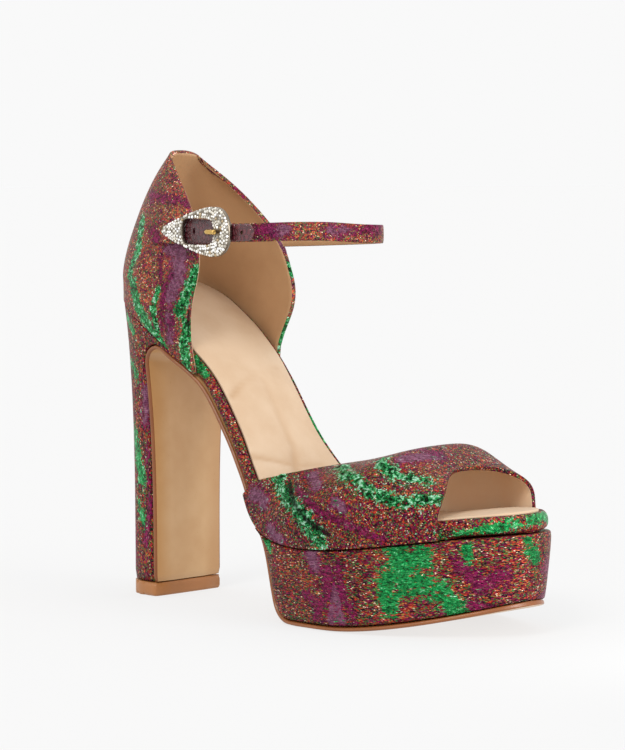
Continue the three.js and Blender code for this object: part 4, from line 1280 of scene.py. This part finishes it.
@dataclass
class Bottom:
    """Platform, sole leather, heel and top piece."""

    tip_from: float = 150
    tip_turn: float = 0.6
    edge_turn: float = 0.55
    # The next five set where and how strongly shade is painted on the breast.
    breast_half: float = 10
    breast_fade: float = 7
    foot_shade_from: float = 30
    side_dark: float = 0.75
    foot_dark: float = 0.3

    def build(self, wardrobe: Wardrobe) -> None:
        """Makes and dresses the pieces under the insole."""
        dress("platform", "platform_cover", "platform_brocade", wardrobe.platform, PLATFORM)
        dress("heel_block", "heel_cover", "heel_brocade", wardrobe.heel, HEEL)
        self.sole(wardrobe)
        dress("top_piece", "top_piece_rubber", "top_piece_rubber", wardrobe.rubber)

    def sole(self, wardrobe: Wardrobe) -> None:
        """The leather sole, polished, with painted edges."""

        def edges(middles: np.ndarray, directions: np.ndarray) -> np.ndarray:
            """Painted edge where a face looks sideways or towards the toe's tip."""
            tip = (middles[:, 0] > self.tip_from) & (directions[:, 0] > self.tip_turn)
            painted = (np.abs(directions[:, 1]) > self.edge_turn) | tip
            return np.where(painted, SoleFace.PAINTED, SoleFace.POLISHED)

        cover = Cover("outsole", "sole_leather", 50, 0.9)
        cover.sides([wardrobe.breast, wardrobe.sole_edge], edges).refine(2)
        # Painted shade on the breast, which the leather's shaded mix reads.
        mark(cover.piece, "deep", self.breast_shade(corners(cover.piece.data)))
        fit(cover.piece, "sole_leather", "outsole")

    def breast_shade(self, points: np.ndarray) -> np.ndarray:
        """Painted shade: the sole leather is darker towards the breast's edges and its foot."""
        side = np.clip((np.abs(points[:, 1]) - self.breast_half) / self.breast_fade, 0, 1) ** 2
        low = np.clip((self.foot_shade_from - points[:, 2]) / self.foot_shade_from, 0, 1)
        return np.clip(self.side_dark * side + self.foot_dark * low, 0, 1)


@dataclass
class Fastening:
    """The tab, the jewelled buckle, the billet under it and the prong."""

    height: float = 19.4
    window_length: float = 19
    window_height: float = 10.3
    window_centre: float = 0.533
    window_taper: float = 0.06
    rest_width: float = 1.6
    broader: float = 0.5
    hidden_from: float = 3.5
    hidden: float = 3
    point: float = 0.78
    end: float = 6
    nose: float = 0.04
    nose_round: float = 0.012
    wall: float = 0.66
    foot: float = 0.1
    face: float = 0.7
    dome: float = 0.2
    prong_reach: float = 35.6
    stone: float = 1.3
    edge_share: float = 0.42
    net: tuple[int, int] = (60, 420)
    spacing: float = 1.16
    sunk: float = 0.12
    lean: float = 0.62
    wobble: float = 0.12
    seed: int = 7
    size_range: tuple[float, float] = (0.86, 1.04)
    tie: float = 0.0003
    turns: int = 160
    origin: np.ndarray = field(init=False)
    axes: np.ndarray = field(init=False)
    real_length: float = field(init=False)
    real_depth: float = field(init=False)

    def __post_init__(self) -> None:
        """Finds the buckle's own axes from its solid: along it, up, and out of it."""
        points = corners(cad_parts["buckle_frame"].data)
        plan = points[:, :2] - points[:, :2].mean(axis=0)
        main = np.linalg.svd(plan, full_matrices=False)[2][0]
        along = np.array([*(main * np.sign(main[0])), 0])
        up = np.array([0.0, 0.0, 1.0])
        out = np.cross(along, up)
        self.axes = np.stack([along, up, out])
        local = points @ self.axes.T
        middle_z = (local[:, 1].min() + local[:, 1].max()) / 2
        corner = np.array([local[:, 0].min(), middle_z, local[:, 2].min()])
        self.origin = corner @ self.axes
        self.real_length = float(np.ptp(local[:, 0]))
        self.real_depth = float(np.ptp(local[:, 2]))

    def drop(self, turn: np.ndarray) -> np.ndarray:
        """The frame's outline: a drop whose nose is at 0 along.

        Along is half of 1 less the cosine of the angle. The half height goes by along to the power
        of the point, times the root of 1 less along to the power of the end, over its own peak.

        Args:
            turn: angles round the outline.

        Returns:
            Places on the frame's plan.
        """

        def rise(share: np.ndarray | float) -> np.ndarray:
            """The half height before it is brought to size."""
            return share**self.point * np.sqrt(np.maximum(1 - share**self.end, 0))

        along = (1 - np.cos(turn)) / 2
        peak = rise((self.point / (self.point + self.end / 2)) ** (1 / self.end))
        half = self.height / 2 * rise(self.nose + (1 - self.nose) * along) / peak
        round_nose = np.sqrt(np.clip(along / self.nose_round, 0, 1))
        return np.stack([self.real_length * along, -half * round_nose * np.sign(np.sin(turn))], axis=-1)

    def window(self, turn: np.ndarray) -> np.ndarray:
        """The window: a tapered rounded rectangle, each axis the root of a cosine or sine.

        Args:
            turn: angles round the window.

        Returns:
            Places on the frame's plan.
        """
        c, s = -np.cos(turn), -np.sin(turn)
        x = self.real_length * self.window_centre + self.window_length / 2 * np.sign(c) * np.abs(c) ** 0.5
        y = self.window_height / 2 * (1 + self.window_taper * c) * np.sign(s) * np.abs(s) ** 0.5
        return np.stack([x, y], axis=-1)

    def place(self, local: np.ndarray) -> np.ndarray:
        """Local places as places of the part."""
        return self.origin + local @ self.axes

    def across(self, turn: np.ndarray, share: np.ndarray | float) -> np.ndarray:
        """Places on the frame's plan, from the window's edge, share 0, to the outline, share 1."""
        window = self.window(turn)
        return window + (self.drop(turn) - window) * share

    def top(self, share: np.ndarray) -> np.ndarray:
        """The height of the frame's domed face, by share from the window's edge to the outline."""
        return self.real_depth * (self.face + self.dome * np.sin(math.pi * share))

    def build(self, wardrobe: Wardrobe) -> None:
        """Makes and dresses the fastening."""
        self.frame_ring(wardrobe)
        self.pave(wardrobe)
        dress("buckle_tab", "buckle_tab_cover", "upper_brocade", wardrobe.back, TAB, hold=0.7, levels=3)
        dress("billet", "billet_cover", "strap_leather", wardrobe.croc, hold=0.7, move=self.broaden)
        dress("buckle_prong", "gold_prong", "gold_metal", wardrobe.gold, sharp=60, hold=0.5)

    def broaden(self, points: np.ndarray) -> np.ndarray:
        """The billet fills the window: it is taller up to the front bar, which hides the change.

        Args:
            points: the billet's corners.

        Returns:
            Their new places.
        """
        along = (points - self.origin) @ self.axes[0]
        front = self.real_length * self.window_centre + self.window_length / 2
        share = np.clip((front + self.hidden_from - along) / self.hidden, 0, 1)
        middle = (points[:, 2].max() + points[:, 2].min()) / 2
        taller = points.copy()
        taller[:, 2] = middle + (points[:, 2] - middle) * (1 + self.broader * share)
        return taller

    def frame_ring(self, wardrobe: Wardrobe) -> Piece:
        """The metal frame: a section carried round between window and outline.

        The section is a closed run of shares across and heights: up the window's wall, over the
        domed face, down the outer wall and back along the flat underside.

        Args:
            wardrobe: the finishes.

        Returns:
            The frame.
        """
        turn = 2 * math.pi * np.arange(self.turns) / self.turns
        domed = np.linspace(0.06, 0.94, 9)
        share = np.array([0, 0, *domed, 1, 1, domed[-1], domed[0]])
        wall = self.real_depth * np.array([self.foot, self.wall])
        height = np.array([*wall, *self.top(domed), *wall[::-1], 0, 0])
        plan = self.across(turn, share[:, None, None])
        level = np.broadcast_to(height[:, None, None], (len(share), self.turns, 1))
        points = self.place(np.concatenate([plan, level], axis=-1).reshape(-1, 3))
        faces = grid_faces(len(share), self.turns, True, True)
        ring = mesh_object("buckle_setting", points, faces, [wardrobe.setting])
        tidy_mesh(ring)
        return fit(ring, "jewelled_metal", "buckle_frame")

    def packed(self) -> tuple[np.ndarray, np.ndarray]:
        """Where the stones stand, packed from both edges of the frame inwards.

        Places on a fine net over the frame are sorted by their distance to the nearer edge and
        taken one by one where no stone stands within the spacing, but none under the prong.

        Returns:
            The places on the frame's plan, and each one's share from the window to the outline.
        """
        shares = np.linspace(0, 1, self.net[0])
        turn = np.linspace(0, 2 * math.pi, self.net[1], endpoint=False)
        net = self.across(turn, shares[:, None, None]).reshape(-1, 2)
        rims = np.concatenate([self.drop(turn), self.window(turn)])
        edge_gap = np.array([np.linalg.norm(rims - place, axis=1).min() for place in net])
        order = np.argsort(edge_gap + self.tie * np.arange(len(net)) / len(net))
        ahead = (net[:, 0] > self.real_length / 2) & (net[:, 0] < self.prong_reach)
        free = (edge_gap >= self.stone * self.edge_share) & ~(ahead & (np.abs(net[:, 1]) < self.rest_width))
        chosen: list[int] = []
        for i in order[free[order]]:
            if not chosen or np.linalg.norm(net[chosen] - net[i], axis=1).min() > self.spacing:
                chosen.append(int(i))
        return net[chosen], np.repeat(shares, len(turn))[chosen]

    def cut_stone(self) -> tuple[np.ndarray, list[list[int]]]:
        """A cut octagon with a small flat table, a slanted crown and a skirt.

        Returns:
            Its corners in millimetres, and its faces.
        """
        eighth = 2 * math.pi * np.arange(8) / 8
        radii, heights = self.stone / 2 * np.array([0.8, 1, 0.56]), np.array([-0.25, 0.12, 0.52])
        around = np.stack([np.cos(eighth), np.sin(eighth)], axis=-1)
        level = np.broadcast_to(heights[:, None, None], (3, 8, 1))
        shape = np.concatenate([radii[:, None, None] * around, level], axis=-1).reshape(-1, 3)
        return shape, grid_faces(3, 8, False, True).tolist() + [list(range(16, 24)), list(range(7, -1, -1))]

    def pave(self, wardrobe: Wardrobe) -> Piece:
        """The stones: each leans towards the nearer edge, and is tilted and turned a little at random.

        Args:
            wardrobe: the finishes.

        Returns:
            The stones as one piece.
        """
        plan, share = self.packed()
        count = len(plan)
        away = unit(plan - (self.real_length * self.window_centre, 0)) * -self.lean
        rng = np.random.default_rng(self.seed)
        tilt = rng.normal(0, self.wobble, (count, 2))
        slope = away * np.cos(math.pi * share)[:, None] + tilt
        normal = unit(np.column_stack([slope, np.ones(count)]))
        first = unit(np.cross(np.array([0.0, 1.0, 0.0]), normal))
        second = np.cross(normal, first)
        spin = rng.uniform(0, math.pi, count)[:, None]
        turned = first * np.cos(spin) + second * np.sin(spin)
        square = second * np.cos(spin) - first * np.sin(spin)
        axes = np.stack([turned @ self.axes, square @ self.axes, normal @ self.axes], axis=1)
        centres = self.place(np.column_stack([plan, self.top(share) - self.sunk]))
        shape, faces = self.cut_stone()
        sizes = rng.uniform(*self.size_range, count)
        stones = scatter("clear_stones", shape, faces, centres, axes, sizes, wardrobe.stones)
        mark(stones, "tint", np.repeat(rng.uniform(0, 1, count), len(shape)))
        LOG.info("%d stones", count)
        return fit(stones, "jewelled_metal")


# The set


@dataclass
class Studio:
    """Pale floor, soft lights and the camera at the photograph's place."""

    azimuth: float = 44.0
    elevation: float = 4.06
    roll: float = -0.2
    distance: float = 1200
    focal: float = 3035.17
    tall: float = 750
    aim: tuple[float, float, float] = (70.25, 0, 90)
    shift: tuple[float, float] = (-8.22, -2.22)
    backdrop: float = 0.947
    glow: float = 0.78
    panel_power: float = 0.06
    panel_size: float = 60
    panel_place: tuple[float, float, float] = (305, 15, 72)
    panel_back: tuple[float, float, float] = (1, 0, 0.12)
    gate: float = 36
    floor_half: float = 24000
    suns: tuple[tuple, ...] = (
        ("key", (-0.45, 0.75, 0.8), 1.2, 22, (1, 0.99, 0.97)),
        ("toe", (0.8, 0.6, 0.26), 1.6, 35, (1, 0.99, 0.98)),
        ("top", (0.1, -0.4, 1.0), 0.4, 60, (1, 1, 1)),
    )

    def axes(self) -> tuple[np.ndarray, np.ndarray, np.ndarray]:
        """The camera's directions, level with the floor first and then rolled.

        Returns:
            Right, up and back.
        """
        a, e, r = (math.radians(v) for v in (self.azimuth, self.elevation, self.roll))
        back = np.array([math.sin(a) * math.cos(e), -math.cos(a) * math.cos(e), math.sin(e)])
        right = np.array([math.cos(a), math.sin(a), 0])
        up = np.cross(back, right)
        return right * math.cos(r) + up * math.sin(r), up * math.cos(r) - right * math.sin(r), back

    def camera(self) -> None:
        """Sets the camera. The lens carries the focal length in pixels to the camera's gate."""
        right, up, back = self.axes()
        centre = np.array(self.aim) - self.shift[0] * right - self.shift[1] * up + self.distance * back
        data = bpy.data.cameras.new("photo_camera")
        data.sensor_width = self.gate
        data.lens = self.focal * self.gate / self.tall
        data.clip_start, data.clip_end = 0.05, 20
        lens = bpy.data.objects.new("photo_camera", data)
        turn = Matrix(np.stack([right, up, back], axis=1).tolist()).to_4x4()
        lens.matrix_world = Matrix.Translation(Vector(centre * MM)) @ turn
        bpy.context.scene.collection.objects.link(lens)
        bpy.context.scene.camera = lens

    def sun(
        self, name: str, toward: Sequence[float], strength: float, angle: float, tint: Sequence[float]
    ) -> float:
        """A wide soft light from far away.

        Args:
            name: the light's name.
            toward: its direction as shares to the camera's right, to the camera and up.
            strength: its strength.
            angle: how wide it is, in degrees.
            tint: its colour.

        Returns:
            What it adds to a level white floor.
        """
        right, _, back = self.axes()
        level = np.array([back[0], back[1], 0]) / math.hypot(back[0], back[1])
        way = unit(right * (1, 1, 0) * toward[0] + level * toward[1] + np.array([0, 0, toward[2]]))
        data = bpy.data.lights.new(name, "SUN")
        data.energy, data.angle, data.color = strength, math.radians(angle), tuple(tint)
        light = bpy.data.objects.new(name, data)
        light.rotation_euler = Vector(way).to_track_quat("Z", "Y").to_euler()
        bpy.context.scene.collection.objects.link(light)
        return strength * float(way[2]) / math.pi

    def toe_panel(self) -> None:
        """A small soft panel before the toe, which looks back into the peep."""
        data = bpy.data.lights.new("toe_panel", "AREA")
        data.energy, data.size = self.panel_power, self.panel_size * MM
        panel = bpy.data.objects.new("toe_panel", data)
        panel.location = Vector(self.panel_place) * MM
        panel.rotation_euler = Vector(self.panel_back).to_track_quat("Z", "Y").to_euler()
        panel.visible_camera = False
        bpy.context.scene.collection.objects.link(panel)

    def build(self) -> None:
        """Makes the set: the floor's white is chosen so that it meets the backdrop unseen."""
        self.camera()
        added = sum(self.sun(*row) for row in self.suns)
        self.toe_panel()
        world = bpy.data.worlds.new("studio")
        world.use_nodes = True
        sky = world.node_tree.nodes["Background"]
        sky.inputs["Color"].default_value = (1, 1, 1, 1)
        sky.inputs["Strength"].default_value = self.backdrop
        bpy.context.scene.world = world
        p = Paint("pale_floor")
        grain = p.noise(p.place((1, 1, 1)), 0.01, 2)
        white = (1 - self.glow) * self.backdrop / (self.backdrop + added)
        tone = p.mix(grain * 0.02, (white,) * 3, (0.96 * white,) * 3)
        own = {"Emission Color": (1.0, 1.0, 1.0), "Emission Strength": self.glow * self.backdrop}
        finish = p.surface({"Roughness": 1.0, "Specular IOR Level": 0.0, **own}, {"Base Color": tone})
        square = self.floor_half * np.array([(-1, -1, 0), (1, -1, 0), (1, 1, 0), (-1, 1, 0)])
        mesh_object("studio_floor", square, [[0, 1, 2, 3]], [finish])
        bpy.context.scene.view_settings.view_transform = "Standard"


def main() -> None:
    """Builds the shoe from the bottom up, then the set."""
    wardrobe = Wardrobe()
    Bottom().build(wardrobe)
    Insole(Last()).build(wardrobe)
    Vamp().build(wardrobe)
    ClosedBack().build(wardrobe)
    Fastening().build(wardrobe)
    Studio().build()
    bpy.context.view_layer.update()


if __name__ == "__main__":
    logging.basicConfig(level=logging.INFO, format="%(name)s: %(message)s")
    main()
